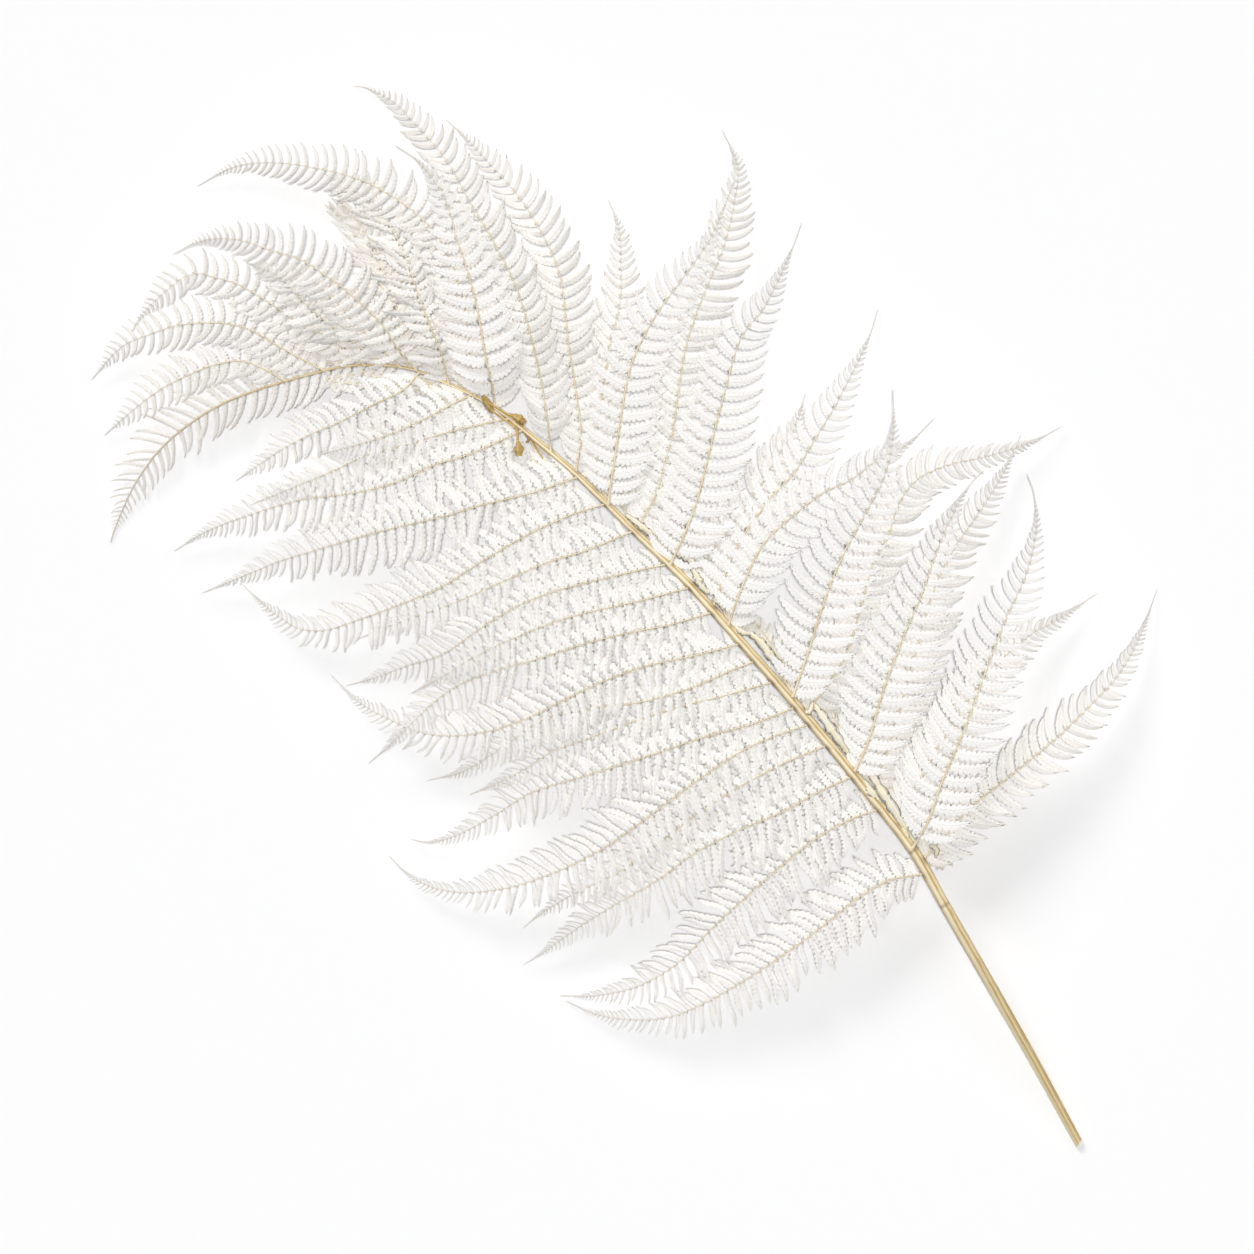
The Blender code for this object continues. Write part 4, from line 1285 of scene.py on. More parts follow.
@dataclass
class Pinna:
    """One side branch: its midrib line, its leaflets and how they lie.

    The layer says how high it lies among its neighbours, and leaflet is its longest leaflet in
    millimetres. The leafy end of the stem has no pixels, because it follows the stem's line.
    """

    node: str
    side: Side
    layer: float
    leaflet: float
    habit: Habit
    pixels: Sequence[Pixel]
    own_taper: tuple[float, float] | None = None
    own_root: float | None = None
    own_tilts: tuple[float, float] | None = None

    MIDDLE_LAYER = 2.0
    TILT_PER_LAYER = 4.0
    LEFT_TILTS = (-3.0, -9.0)
    END_TILT = -10.0
    RISE_SHARE = 0.15
    BLADE = 0.6 * MM
    STEP = 1.25 * MM
    DIGITS = 6
    LEAST_SPACING = 1.3 * MM
    TIP_SPACING = 0.18
    SPACING_POWER = 0.6
    TIP_NARROWING = 0.50
    LEAST_REACH = 0.6 * MM
    TIP_GIRTH = 0.14 * MM
    GIRTH_POWER = 0.8
    FLARE = 0.40 * MM
    FLARE_RUN = 3 * MM
    RIB_LIFT = 0.35 * MM
    BEND_SHARE = 0.35
    ROOM_RUN = 36 * MM
    PROBE_HEIGHT = 1.0
    SMOOTHING = 5
    END_OVERLAP = 6 * MM
    SEEDS = 1000

    def tilts(self) -> tuple[float, float]:
        """Choose how far the leaflets slope up.

        Returns:
            The slope on the left and on the right, in degrees.
        """
        if self.own_tilts:
            return self.own_tilts
        if self.habit is Habit.LEAFY_END:
            return self.END_TILT, self.END_TILT
        if self.side is Side.LEFT:
            return self.LEFT_TILTS
        tilt = self.TILT_PER_LAYER * (self.layer - self.MIDDLE_LAYER)
        return tilt, tilt

    def reach(self, distance: float, length: float) -> float:
        """Length of the leaflets at a place on the leafy part.

        Args:
            distance: How far along the leafy part it is.
            length: Length of the leafy part.

        Returns:
            The leaflets' length.
        """
        sizes = HABITS[self.habit]
        share = min(distance / length, 1.0)
        root = self.own_root or sizes.root_reach
        swell = min(1.0, root + (1 - root) * distance / sizes.root_run)
        power, roundness = self.own_taper or sizes.taper
        return self.leaflet * MM * swell * (1 - share ** power) ** roundness

    def stations(self, start: float, length: float) -> list[float]:
        """Distances along the midrib at which a pair of leaflets grows.

        Args:
            start: Where the leafy part starts.
            length: Length of the midrib's line.

        Returns:
            The distances, closer together towards the tip.
        """
        sizes = HABITS[self.habit]
        found = []
        distance = start
        while distance < length - self.LEAST_SPACING:
            found.append(distance)
            fullness = self.reach(distance - start + sizes.bare, length - start) / (
                self.leaflet * MM)
            distance += max(self.LEAST_SPACING, sizes.spacing * (
                self.TIP_SPACING + (1 - self.TIP_SPACING) * fullness ** self.SPACING_POWER))
        return found

    def heights(self, line: PlanLine, distances: Sequence[float]) -> np.ndarray:
        """Height of the midrib, read from its solid.

        Args:
            line: The midrib's line.
            distances: Where to read it.

        Returns:
            One height for each distance, smoothed along the line.
        """
        mesh = frame["nodes"][self.node].data
        points = [v.co.copy() for v in mesh.vertices]
        solid = BVHTree.FromPolygons(points, [tuple(p.vertices) for p in mesh.polygons])
        found = []
        for distance in distances:
            spot = line.point(distance)
            above = Vector((spot.x, spot.y, self.PROBE_HEIGHT))
            hit = solid.ray_cast(above, Vector(DOWN))[0]
            found.append(math.nan if hit is None else hit.z - self.BLADE / 2)
        known = np.array(found)
        good = ~np.isnan(known)
        places = np.array(distances)
        known = np.interp(places, places[good], known[good])
        padded = np.pad(known, self.SMOOTHING // 2, mode="edge")
        return np.convolve(padded, np.ones(self.SMOOTHING) / self.SMOOTHING, mode="valid")

    def rooms(self, line: PlanLine, side: Side, distances: Sequence[float],
              reaches: Sequence[float]) -> list[float]:
        """Leaflet lengths on one side, shortened beside the stem.

        Args:
            line: The midrib's line.
            side: The side, looking from the pinna's root to its tip.
            distances: Where the leaflets grow.
            reaches: Their lengths in the open.

        Returns:
            The lengths.
        """
        if not self.pixels:
            return list(reaches)
        sizes = HABITS[self.habit]
        leans = sizes.lean_back if side is self.side else sizes.lean_front
        lean = math.radians(leans[0]) - self.BEND_SHARE
        return [reach if distance > self.ROOM_RUN
                else RACHIS.room(line.point(distance), line.heading(distance)
                                 + side.value * lean, reach)
                for distance, reach in zip(distances, reaches)]

    def line_and_start(self) -> tuple[PlanLine, float, float]:
        """Lay the midrib.

        Returns:
            The midrib's line, where the midrib starts on it and where its leaflets start.
        """
        bare = HABITS[self.habit].bare
        if not self.pixels:
            begin = RACHIS.length * RACHIS.BARE_END
            return RACHIS, begin - self.END_OVERLAP, begin + bare
        return PlanLine(self.pixels), 0.0, bare

    def girths(self, distances: Sequence[float], length: float) -> list[float]:
        """Half the midrib's thickness.

        Args:
            distances: Where to give it.
            length: Length of the midrib's line.

        Returns:
            A value for each distance.
        """
        if not self.pixels:
            return [RACHIS.radius(d) for d in distances]
        root = HABITS[self.habit].girth
        return [root + (self.TIP_GIRTH - root) * (d / length) ** self.GIRTH_POWER
                + self.FLARE * math.exp(-d / self.FLARE_RUN) for d in distances]

    def build(self, growth: Growth) -> None:
        """Grow the pinna.

        Args:
            growth: What it grows from.
        """
        line, begin, start = self.line_and_start()
        length = line.length
        sizes = HABITS[self.habit]
        stations = self.stations(start, length)
        between = list(np.arange(begin, length, self.STEP))
        distances = sorted({round(d, self.DIGITS) for d in stations + between + [length]})
        chosen = {round(d, self.DIGITS) for d in stations}
        distances = [d for i, d in enumerate(distances) if d in chosen or d == distances[-1]
                     or not any(abs(d - s) < self.STEP / 2 for s in stations)]
        heights = self.heights(line, distances)
        points, tangents = [], []
        for distance, height in zip(distances, heights):
            spot = line.point(distance)
            spot.z = float(height)
            points.append(spot)
            angle = line.heading(distance)
            tangents.append((math.cos(angle), math.sin(angle), 0.0))
        leafy = length - start
        reaches = [self.reach(max(d - start, 0.0) + sizes.bare, leafy + sizes.bare)
                   for d in distances]
        fills = [sizes.fill * (1 - self.TIP_NARROWING * max(d - start, 0.0) / leafy)
                 for d in distances]
        gaps = dict(zip([round(s, self.DIGITS) for s in stations],
                        np.diff(stations + [length]).tolist()))
        picks = [growth.patterns.picks(r) for r in reaches]
        lengths = [max(r, self.LEAST_REACH) for r in reaches]
        source = point_mesh(f"{self.node}_line", points, [], {
            "tangent": tangents,
            "left_reach": self.rooms(line, Side.LEFT, distances, lengths),
            "right_reach": self.rooms(line, Side.RIGHT, distances, lengths),
            "spread": [min(gaps.get(d, MM) * fill, reach)
                       for d, reach, fill in zip(distances, lengths, fills)],
            "along": [d / length for d in distances],
            "girth": self.girths(distances, length),
            "carries": [d in chosen for d in distances],
            "pick_low": [p[0] for p in picks],
            "pick_high": [p[1] for p in picks],
        })
        declare(growth.leafy(f"{self.node}_leafy", source, self.settings()), "leaf", self.node)

    def settings(self) -> dict[str, object]:
        """Choose the values of the tree's inputs.

        Returns:
            The values by the inputs' names.
        """
        sizes = HABITS[self.habit]
        front, back = ("Left", "Right") if self.side is Side.RIGHT else ("Right", "Left")
        tilts = dict(zip(("Left", "Right"), self.tilts()))
        values = {
            "Seed": random.Random(self.node).randrange(self.SEEDS),
            "Rib Lift": self.RIB_LIFT,
            "Lean Jitter": math.radians(sizes.lean_jitter),
            "Roll Jitter": math.radians(sizes.roll_jitter),
            "Rise Jitter": math.radians(sizes.roll_jitter) * self.RISE_SHARE,
            "Length Jitter": sizes.length_jitter,
        }
        for label, leans, roll, length in (
                (front, sizes.lean_front, sizes.roll_front, sizes.length_front),
                (back, sizes.lean_back, sizes.roll_back, sizes.length_back)):
            values[f"{label} Length"] = length
            values[f"{label} Lean Root"] = math.radians(leans[0])
            values[f"{label} Lean Tip"] = math.radians(leans[1])
            values[f"{label} Roll"] = math.radians(roll)
            values[f"{label} Rise"] = math.tan(math.radians(tilts[label]))
        return values


FLAT, LOOSE, OUTER, CRUMPLED = Habit.FLAT, Habit.LOOSE, Habit.OUTER, Habit.CRUMPLED

# Number of the pinna: its layer, leaflet length and habit, and its midrib in the top view.
RIGHT_MIDRIBS = {
    1: (0, 20, LOOSE, ((922, 860), (946, 835), (968, 809), (1009, 776), (1055, 739), (1089, 707),
        (1119, 675), (1142, 634), (1159, 589))),
    2: (3, 24, FLAT, ((912, 848), (925, 826), (940, 784), (964, 727), (984, 674), (1006, 618),
        (1026, 575), (1037, 530), (1035, 495), (1028, 474))),
    3: (0.4, 20, LOOSE, ((895, 828), (930, 760), (975, 690), (1025, 639), (1060, 619),
        (1099, 593))),
    4: (0.2, 20, LOOSE, ((872, 797), (905, 690), (930, 600), (954, 549), (975, 519), (999, 482),
        (1016, 449), (1022, 434))),
    5: (3, 24, FLAT, ((854, 771), (867, 743), (881, 695), (900, 643), (921, 594), (936, 552),
        (952, 515), (971, 484), (985, 470))),
    6: (1, 18, LOOSE, ((805, 712), (822, 692), (845, 655), (859, 612), (872, 565), (888, 535),
        (897, 508), (912, 484), (942, 467), (988, 456), (1032, 442), (1063, 426))),
    8: (4, 25, FLAT, ((792, 697), (808, 651), (825, 597), (843, 554), (863, 517), (884, 476),
        (893, 436), (893, 389))),
    9: (2, 20, FLAT, ((728, 625), (744, 581), (764, 543), (795, 514), (823, 493), (852, 479),
        (881, 457), (908, 444), (935, 418))),
    10: (1, 20, FLAT, ((712, 609), (735, 550), (765, 505), (795, 471), (815, 439), (839, 399),
        (869, 338), (879, 308))),
    11: (1, 18, LOOSE, ((692, 587), (701, 570), (717, 543), (741, 515), (760, 486), (779, 455),
        (796, 426), (806, 393))),
    12: (3, 24, FLAT, ((670, 565), (686, 530), (698, 496), (712, 440), (725, 390), (741, 338),
        (765, 306), (793, 247), (802, 222))),
    13: (1, 20, LOOSE, ((635, 531), (655, 496), (671, 441), (678, 394), (686, 347), (700, 304),
        (726, 239), (739, 171), (735, 155), (722, 128))),
    14: (3, 22, FLAT, ((608, 505), (614, 464), (622, 410), (632, 363), (655, 317), (686, 274),
        (710, 239), (735, 180))),
    15: (0, 18, LOOSE, ((594, 492), (600, 420), (610, 345), (620, 303), (621, 269), (619, 228),
        (608, 198))),
    16: (1, 18, LOOSE, ((576, 474), (581, 437), (576, 392), (569, 346), (561, 282), (550, 249),
        (522, 201), (494, 168), (465, 136), (445, 118))),
    17: (1.5, 16, LOOSE, ((551, 452), (548, 424), (542, 386), (534, 349), (518, 292), (494, 243),
        (473, 208), (446, 160), (411, 119), (392, 100), (367, 87), (352, 84))),
    18: (4, 22, FLAT, ((495, 408), (494, 396), (486, 357), (478, 311), (468, 272), (457, 240),
        (449, 210), (439, 188), (419, 162), (395, 145))),
    19: (1, 18, OUTER, ((475, 396), (465, 310), (448, 255), (428, 226), (400, 202), (360, 180),
        (312, 167), (270, 162), (233, 166), (196, 185))),
    20: (1, 19, CRUMPLED, ((449, 384), (441, 352), (431, 328), (417, 290), (408, 262), (396, 236),
        (375, 205), (345, 184), (322, 172))),
    21: (1, 20, OUTER, ((417, 371), (400, 352), (382, 325), (352, 296), (331, 280), (302, 261),
        (271, 251), (239, 240), (204, 240), (172, 254))),
    22: (1, 16, CRUMPLED, ((401, 368), (378, 346), (358, 326), (336, 302), (310, 281),
        (285, 262))),
    23: (1, 15, CRUMPLED, ((386, 366), (358, 346), (325, 321), (309, 307), (295, 293), (281, 278),
        (245, 262))),
    24: (1, 15, OUTER, ((366, 366), (328, 338), (302, 325), (271, 304), (239, 285), (217, 278),
        (192, 274), (163, 293), (141, 316), (131, 332))),
    25: (1, 16, OUTER, ((325, 371), (300, 358), (278, 346), (250, 330), (219, 323), (179, 325),
        (149, 334), (120, 347), (90, 379))),
    26: (1, 14, OUTER, ((285, 381), (262, 368), (240, 361), (217, 364), (192, 373), (160, 389),
        (128, 413), (103, 435))),
}
# Own tapers and tilts, by the number of the pinna.
RIGHT_TAPERS = {
    1: (3.4, 2.0), 3: (3.6, 2.0), 13: (7.0, 2.4), 16: (7.0, 2.2), 17: (8.0, 2.0), 20: (8.0, 1.6),
    21: (4.6, 2.2)}
RIGHT_TILTS = {1: (-6.0, 6.0)}

# Leaflet length and midrib of each pinna on the left.
LEFT_MIDRIBS = (
    (18, ((420, 372), (404, 390), (372, 406), (341, 422), (304, 438), (276, 453), (234, 481))),
    (18, ((472, 395), (452, 405), (424, 420), (390, 435), (355, 446), (320, 455))),
    (19, ((509, 419), (463, 429), (433, 437), (404, 446), (369, 455), (336, 470), (290, 489),
        (250, 505))),
    (23, ((524, 430), (471, 454), (433, 466), (392, 484), (355, 493), (301, 500), (246, 516),
        (204, 532), (173, 551))),
    (23, ((579, 477), (536, 492), (480, 506), (439, 518), (399, 527), (350, 540), (310, 552),
        (283, 560), (240, 577), (201, 593))),
    (23, ((606, 504), (569, 516), (528, 535), (480, 563), (442, 587), (402, 604), (358, 620),
        (326, 630), (300, 629), (280, 618), (262, 604), (241, 584))),
    (23, ((634, 531), (588, 550), (544, 564), (480, 592), (444, 607), (400, 622), (355, 640))),
    (23, ((668, 564), (598, 580), (547, 594), (512, 609), (480, 629), (443, 654), (404, 667),
        (374, 678), (345, 686))),
    (23, ((692, 587), (639, 601), (582, 614), (544, 626), (512, 639), (480, 654), (445, 675),
        (410, 694))),
    (23, ((714, 612), (668, 625), (623, 634), (584, 644), (544, 657), (499, 670), (463, 683),
        (438, 699), (409, 726), (384, 750), (368, 764))),
    (23, ((742, 643), (697, 655), (646, 666), (604, 681), (568, 698), (528, 718), (490, 731),
        (452, 736), (419, 732), (388, 719), (358, 702), (330, 675))),
    (21, ((757, 660), (727, 672), (690, 688), (640, 702), (580, 710), (547, 718), (517, 737),
        (488, 757), (460, 773), (427, 781))),
    (23, ((775, 681), (722, 696), (681, 706), (631, 722), (584, 740), (553, 751), (528, 767),
        (500, 782), (470, 795))),
    (23, ((797, 706), (754, 723), (703, 737), (647, 756), (584, 776), (531, 793), (495, 815),
        (460, 834), (430, 843), (410, 840))),
    (23, ((811, 723), (750, 746), (700, 778), (650, 815), (608, 845), (570, 866), (540, 878),
        (512, 887), (468, 893), (432, 888), (406, 874), (388, 856))),
    (23, ((829, 744), (785, 762), (740, 786), (695, 815), (655, 846), (619, 872), (576, 893),
        (540, 915), (523, 929))),
    (23, ((854, 775), (815, 793), (783, 811), (736, 831), (691, 855), (656, 881), (608, 909),
        (571, 933), (539, 956), (523, 966))),
    (23, ((881, 808), (855, 817), (823, 833), (791, 857), (751, 892), (712, 928), (678, 963),
        (637, 987), (592, 997), (560, 997))),
    (21, ((926, 873), (889, 880), (860, 896), (817, 930), (759, 971), (711, 1000), (668, 1018),
        (624, 1020), (592, 1014), (566, 1002))),
)
LEFT_LAYER = 2
# The first few pinnae on the left have nearly full leaflets at the root.
FULL_ROOT = 0.85
LAST_FULL_ROOT = 5

PINNAE = (
    Pinna("pinna_end", Side.RIGHT, 0, 20, Habit.LEAFY_END, ()),
    *(Pinna(f"pinna_right_{number:02d}", Side.RIGHT, *row, RIGHT_TAPERS.get(number),
            own_tilts=RIGHT_TILTS.get(number))
      for number, row in RIGHT_MIDRIBS.items()),
    *(Pinna(f"pinna_left_{number:02d}", Side.LEFT, LEFT_LAYER, leaflet, Habit.ROLLED, pixels,
            own_root=FULL_ROOT if number <= LAST_FULL_ROOT else None)
      for number, (leaflet, pixels) in enumerate(LEFT_MIDRIBS, 1)),
)


@dataclass
class BasalSprigs:
    """Small crumpled sprigs that lie along the stem or among the outer pinnae."""

    name: str
    lines: Sequence[Sequence[Pixel]]
    greatest: float

    BESIDE_STEM = (
        ((912, 842), (893, 812), (886, 796), (875, 777), (862, 764)),
        ((855, 770), (847, 746), (832, 731), (825, 712), (808, 697)),
        ((792, 693), (773, 662), (755, 637), (740, 624)),
        ((728, 622), (717, 598), (706, 583), (694, 571)),
        ((669, 561), (655, 538), (642, 520), (625, 506)),
        ((607, 501), (598, 482), (586, 466), (570, 452)),
        ((922, 858), (938, 846), (946, 851), (941, 866)),
        ((636, 530), (628, 514), (614, 500)),
        ((470, 392), (455, 380), (440, 364)),
        ((440, 378), (424, 366), (408, 350)),
        ((412, 369), (398, 356), (386, 340)),
        ((388, 366), (370, 352), (352, 338)),
        ((367, 366), (345, 354), (326, 347)),
        ((345, 367), (322, 360), (298, 351)),
        ((418, 378), (438, 387), (456, 394), (474, 401)),
        ((362, 372), (380, 374), (400, 377), (420, 381)),
        ((322, 379), (342, 376), (364, 374)),
        ((486, 414), (500, 424), (514, 436)),
        ((530, 441), (544, 452), (562, 468)),
    )
    AMONG_OUTER = (
        ((412, 352), (400, 326), (388, 300), (376, 274), (364, 250), (350, 228), (332, 208)),
    )
    LANES = (0.0, 5.0 * MM)
    SPACING = 3.4 * MM
    LEAST_STEPS = 4
    FILL = 1.05
    RIB_GIRTH = (0.55 * MM, 0.2 * MM)
    SINK = 0.9 * MM
    FALL = 120 * MM
    LEAST_HEIGHT = 0.25
    LEAN = math.radians(60)
    ROOT_REACH = 0.6
    TIP_LOSS = 0.6
    TIP_POWER = 3
    LAST_ALONG = 0.3
    ANGLES = {"Left Lean Root": 66, "Left Lean Tip": 50, "Right Lean Root": 80,
              "Right Lean Tip": 60, "Left Roll": 20, "Right Roll": 16, "Lean Jitter": 16,
              "Roll Jitter": 20}
    SETTINGS = {"Seed": 7, "Rise Jitter": 0.12, "Length Jitter": 0.20, "Rib Lift": 0.2 * MM}

    def build(self, growth: Growth) -> None:
        """Grow the sprigs.

        Args:
            growth: What they grow from.
        """
        points, rows, breaks = [], [], []
        for pixels, lane in itertools.product(self.lines, self.LANES):
            breaks.append(len(points))
            line = PlanLine(pixels)
            count = max(self.LEAST_STEPS, round(line.length / self.SPACING))
            for step in range(count + 1):
                share = step / count
                distance = line.length * share
                angle = line.heading(distance)
                spot = line.point(distance)
                near = RACHIS.nearest(spot)
                away = (spot - RACHIS.point(near)).length
                height = RACHIS.height(near) * max(self.LEAST_HEIGHT, 1 - away / self.FALL)
                spot.z = height - self.SINK
                spot += Vector((math.sin(angle), -math.cos(angle), 0.0)) * (
                    lane * math.sin(math.pi / 2 * share))
                points.append(spot)
                swell = self.ROOT_REACH + (1 - self.ROOT_REACH) * math.sin(math.pi * share)
                reach = self.greatest * swell * (1 - self.TIP_LOSS * share ** self.TIP_POWER)
                low, high = growth.patterns.picks(reach)
                rows.append({
                    "tangent": (math.cos(angle), math.sin(angle), 0.0),
                    "left_reach": RACHIS.room(spot, angle + self.LEAN, reach),
                    "right_reach": RACHIS.room(spot, angle - self.LEAN, reach),
                    "spread": self.SPACING * self.FILL,
                    "along": self.LAST_ALONG * share,
                    "girth": float(np.interp(share, (0, 1), self.RIB_GIRTH)),
                    "carries": step > 0, "pick_low": low, "pick_high": high})
        traits = {name: [row[name] for row in rows] for name in rows[0]}
        source = point_mesh(f"{self.name}_lines", points, breaks, traits)
        values = {name: math.radians(degrees) for name, degrees in self.ANGLES.items()}
        declare(growth.leafy(self.name, source, values | self.SETTINGS), "leaf")


@dataclass
class Foliage:
    """Every pinna of the frond, with the leaflets that they share."""

    tree: NodeTree
    leaves: Mapping[Habit, Material]
    ribs: Mapping[Side, Material]
    end_rib: Material
    basal_leaf: Material

    @staticmethod
    def patterns() -> dict[Habit, PatternSet]:
        """Leaflets for each habit.

        Returns:
            The sets of leaflets, not yet built.
        """
        def forms(rows: Sequence[tuple], *own: str, **shared: float) -> list[LeafletPattern]:
            """Leaflets that share some of their sizes.

            Args:
                rows: For each leaflet its seed, its bend in degrees and its own sizes.
                own: Names of the own sizes.
                shared: The sizes that all have.

            Returns:
                The leaflets.
            """
            return [LeafletPattern(seed=seed, bend=math.radians(degrees), **dict(zip(own, sizes)),
                                   **shared)
                    for seed, degrees, *sizes in rows]

        middle = forms(((21, 38), (22, 38), (23, 38)), lobes=5, thickness=0.014)
        small = forms(((31, 30), (32, 30)), lobes=3, thickness=0.03, notch=0.18)
        plain = forms(((1, 36), (2, 40), (3, 44), (4, 40)), notch=0.36)
        soft = forms((
            (11, 38, 0.2, 0.05, 0.010), (12, 46, -0.2, 0.08, -0.012),
            (13, 42, 0.3, 0.04, 0.015), (14, 50, 0.0, 0.10, 0.0)),
            "twist", "droop", "sway", bluntness=3.2, ripple=0.012, fold=0.05)
        arched = forms(((41, 46, 0.1), (42, 52, -0.1), (43, 58, 0.2)), "twist",
                       ripple=0.014, fold=0.045, notch=0.42)
        wavy = forms((
            (51, 24, 0.3, 0.05, 0.035, 0.012), (52, 34, -0.3, 0.10, -0.030, 0.018),
            (53, 16, 0.5, 0.02, 0.040, -0.015), (54, 42, 0.0, 0.12, 0.024, 0.020),
            (55, 26, 0.2, 0.07, -0.038, 0.010), (56, 8, -0.4, 0.08, 0.030, -0.02)),
            "twist", "droop", "sway", "wave", bluntness=5.5, ripple=0.014, notch=0.46,
            fold=0.040)
        tip_arched = forms(((61, 52), (62, 52)), lobes=5, thickness=0.014, notch=0.30, fold=0.06)
        return {
            Habit.FLAT: PatternSet("flat_leaflets", plain, middle, small),
            Habit.LOOSE: PatternSet("loose_leaflets", soft, middle, small),
            Habit.CRUMPLED: PatternSet("crumpled_leaflets", wavy, middle, small),
            Habit.ROLLED: PatternSet("rolled_leaflets", wavy, middle, small),
            Habit.OUTER: PatternSet("outer_leaflets", arched, tip_arched, small),
            Habit.LEAFY_END: PatternSet("end_leaflets", arched, tip_arched, small),
        }

    def build(self) -> None:
        """Grow every pinna, and the sprigs among them."""
        patterns = self.patterns()
        for group in patterns.values():
            group.build()
        for pinna in PINNAE:
            rib = self.ribs[pinna.side] if pinna.pixels else self.end_rib
            pinna.build(Growth(self.tree, patterns[pinna.habit], self.leaves[pinna.habit], rib))
        crumpled, rib = patterns[Habit.CRUMPLED], self.ribs[Side.RIGHT]
        BasalSprigs("basal_sprigs", BasalSprigs.BESIDE_STEM, 9 * MM).build(
            Growth(self.tree, crumpled, self.basal_leaf, rib))
        BasalSprigs("inner_sprig", BasalSprigs.AMONG_OUTER, 15 * MM).build(
            Growth(self.tree, crumpled, self.leaves[Habit.CRUMPLED], rib))
        for group in patterns.values():
            group.discard()


@dataclass
class Stem:
    """The bare part of the rachis, ribbed and grooved, with a mark at each pinna."""

    finish: Material
    cut_finish: Material
    step: float = 1.5 * MM
    swelling: float = 0.05
    swelling_run: float = 4 * MM
    mark_run: float = 2.2 * MM
    scars: tuple[Pixel, ...] = ((943, 904), (914, 850))
    scar_run: float = 0.6 * MM
    cut_slant: float = math.radians(28)
    cut_trim: float = 2.5 * MM
    merging: float = 0.001 * MM
    waver: float = 0.02
    seed: int = 5
    mark_depths: Span = (0.5, 1.0)
    scar_depth: float = 0.6

    SETTINGS = {"Sides": 28, "Groove Depth": 0.14, "Groove Place": 0.79, "Rib Depth": 0.02,
                "Ribs": 9.0}

    def build(self, tree: NodeTree) -> None:
        """Make the stem.

        Args:
            tree: The Geometry Nodes tree that sweeps it.
        """
        end = RACHIS.length * RACHIS.BARE_END
        count = round(end / self.step)
        distances = [end * i / count for i in range(count + 1)]
        draw = random.Random(self.seed)
        roots = [(RACHIS.nearest(PLAN.spot(pinna.pixels[0])), pinna.side,
                  draw.uniform(*self.mark_depths))
                 for pinna in PINNAE if pinna.pixels]
        scars = [RACHIS.nearest(PLAN.spot(pixel)) for pixel in self.scars]
        girths = []
        marks = {Side.LEFT: [], Side.RIGHT: []}
        for distance in distances:
            near = min(abs(distance - root) for root, _, _ in roots)
            swell = self.swelling * math.exp(-(near / self.swelling_run) ** 2)
            girths.append(RACHIS.radius(distance) * (1 + swell + draw.uniform(-1, 1) * self.waver))
            for side, values in marks.items():
                values.append(max(depth * math.exp(-((distance - root) / self.mark_run) ** 2)
                                  for root, at, depth in roots if at is side))
        points = [RACHIS.place(d) for d in distances]
        source = point_mesh("stem_line", points, [], {
            "girth": girths, "along": [d / RACHIS.length for d in distances],
            "mark": [max(self.scar_depth * math.exp(-((d - scar) / self.scar_run) ** 2)
                         for scar in scars) for d in distances],
            "mark_left": marks[Side.LEFT], "mark_right": marks[Side.RIGHT]})
        piece = grow("ribbed_stem", source, tree, self.SETTINGS | {"Finish": self.finish})
        self.slant(piece)
        keep_off_floor(piece.data)
        declare(piece, "straw", "rachis")

    def slant(self, piece: Object) -> None:
        """Cut the end of the stem on a slant and close it.

        Args:
            piece: The stem.
        """
        heading = RACHIS.heading(0.0) + self.cut_slant
        away = Vector((math.cos(heading), math.sin(heading), 0.0))
        piece.data.materials.append(self.cut_finish)
        shape = bmesh.new()
        shape.from_mesh(piece.data)
        bmesh.ops.remove_doubles(shape, verts=shape.verts, dist=self.merging)
        cut = bmesh.ops.bisect_plane(
            shape, geom=shape.verts[:] + shape.edges[:] + shape.faces[:],
            plane_co=RACHIS.place(0.0) + away * self.cut_trim, plane_no=away, clear_inner=True)
        rim = [e for e in cut["geom_cut"] if isinstance(e, bmesh.types.BMEdge)]
        for face in bmesh.ops.holes_fill(shape, edges=rim, sides=0)["faces"]:
            face.material_index = len(piece.data.materials) - 1
            face.smooth = False
        bmesh.ops.recalc_face_normals(shape, faces=shape.faces)
        shape.to_mesh(piece.data)
        shape.free()


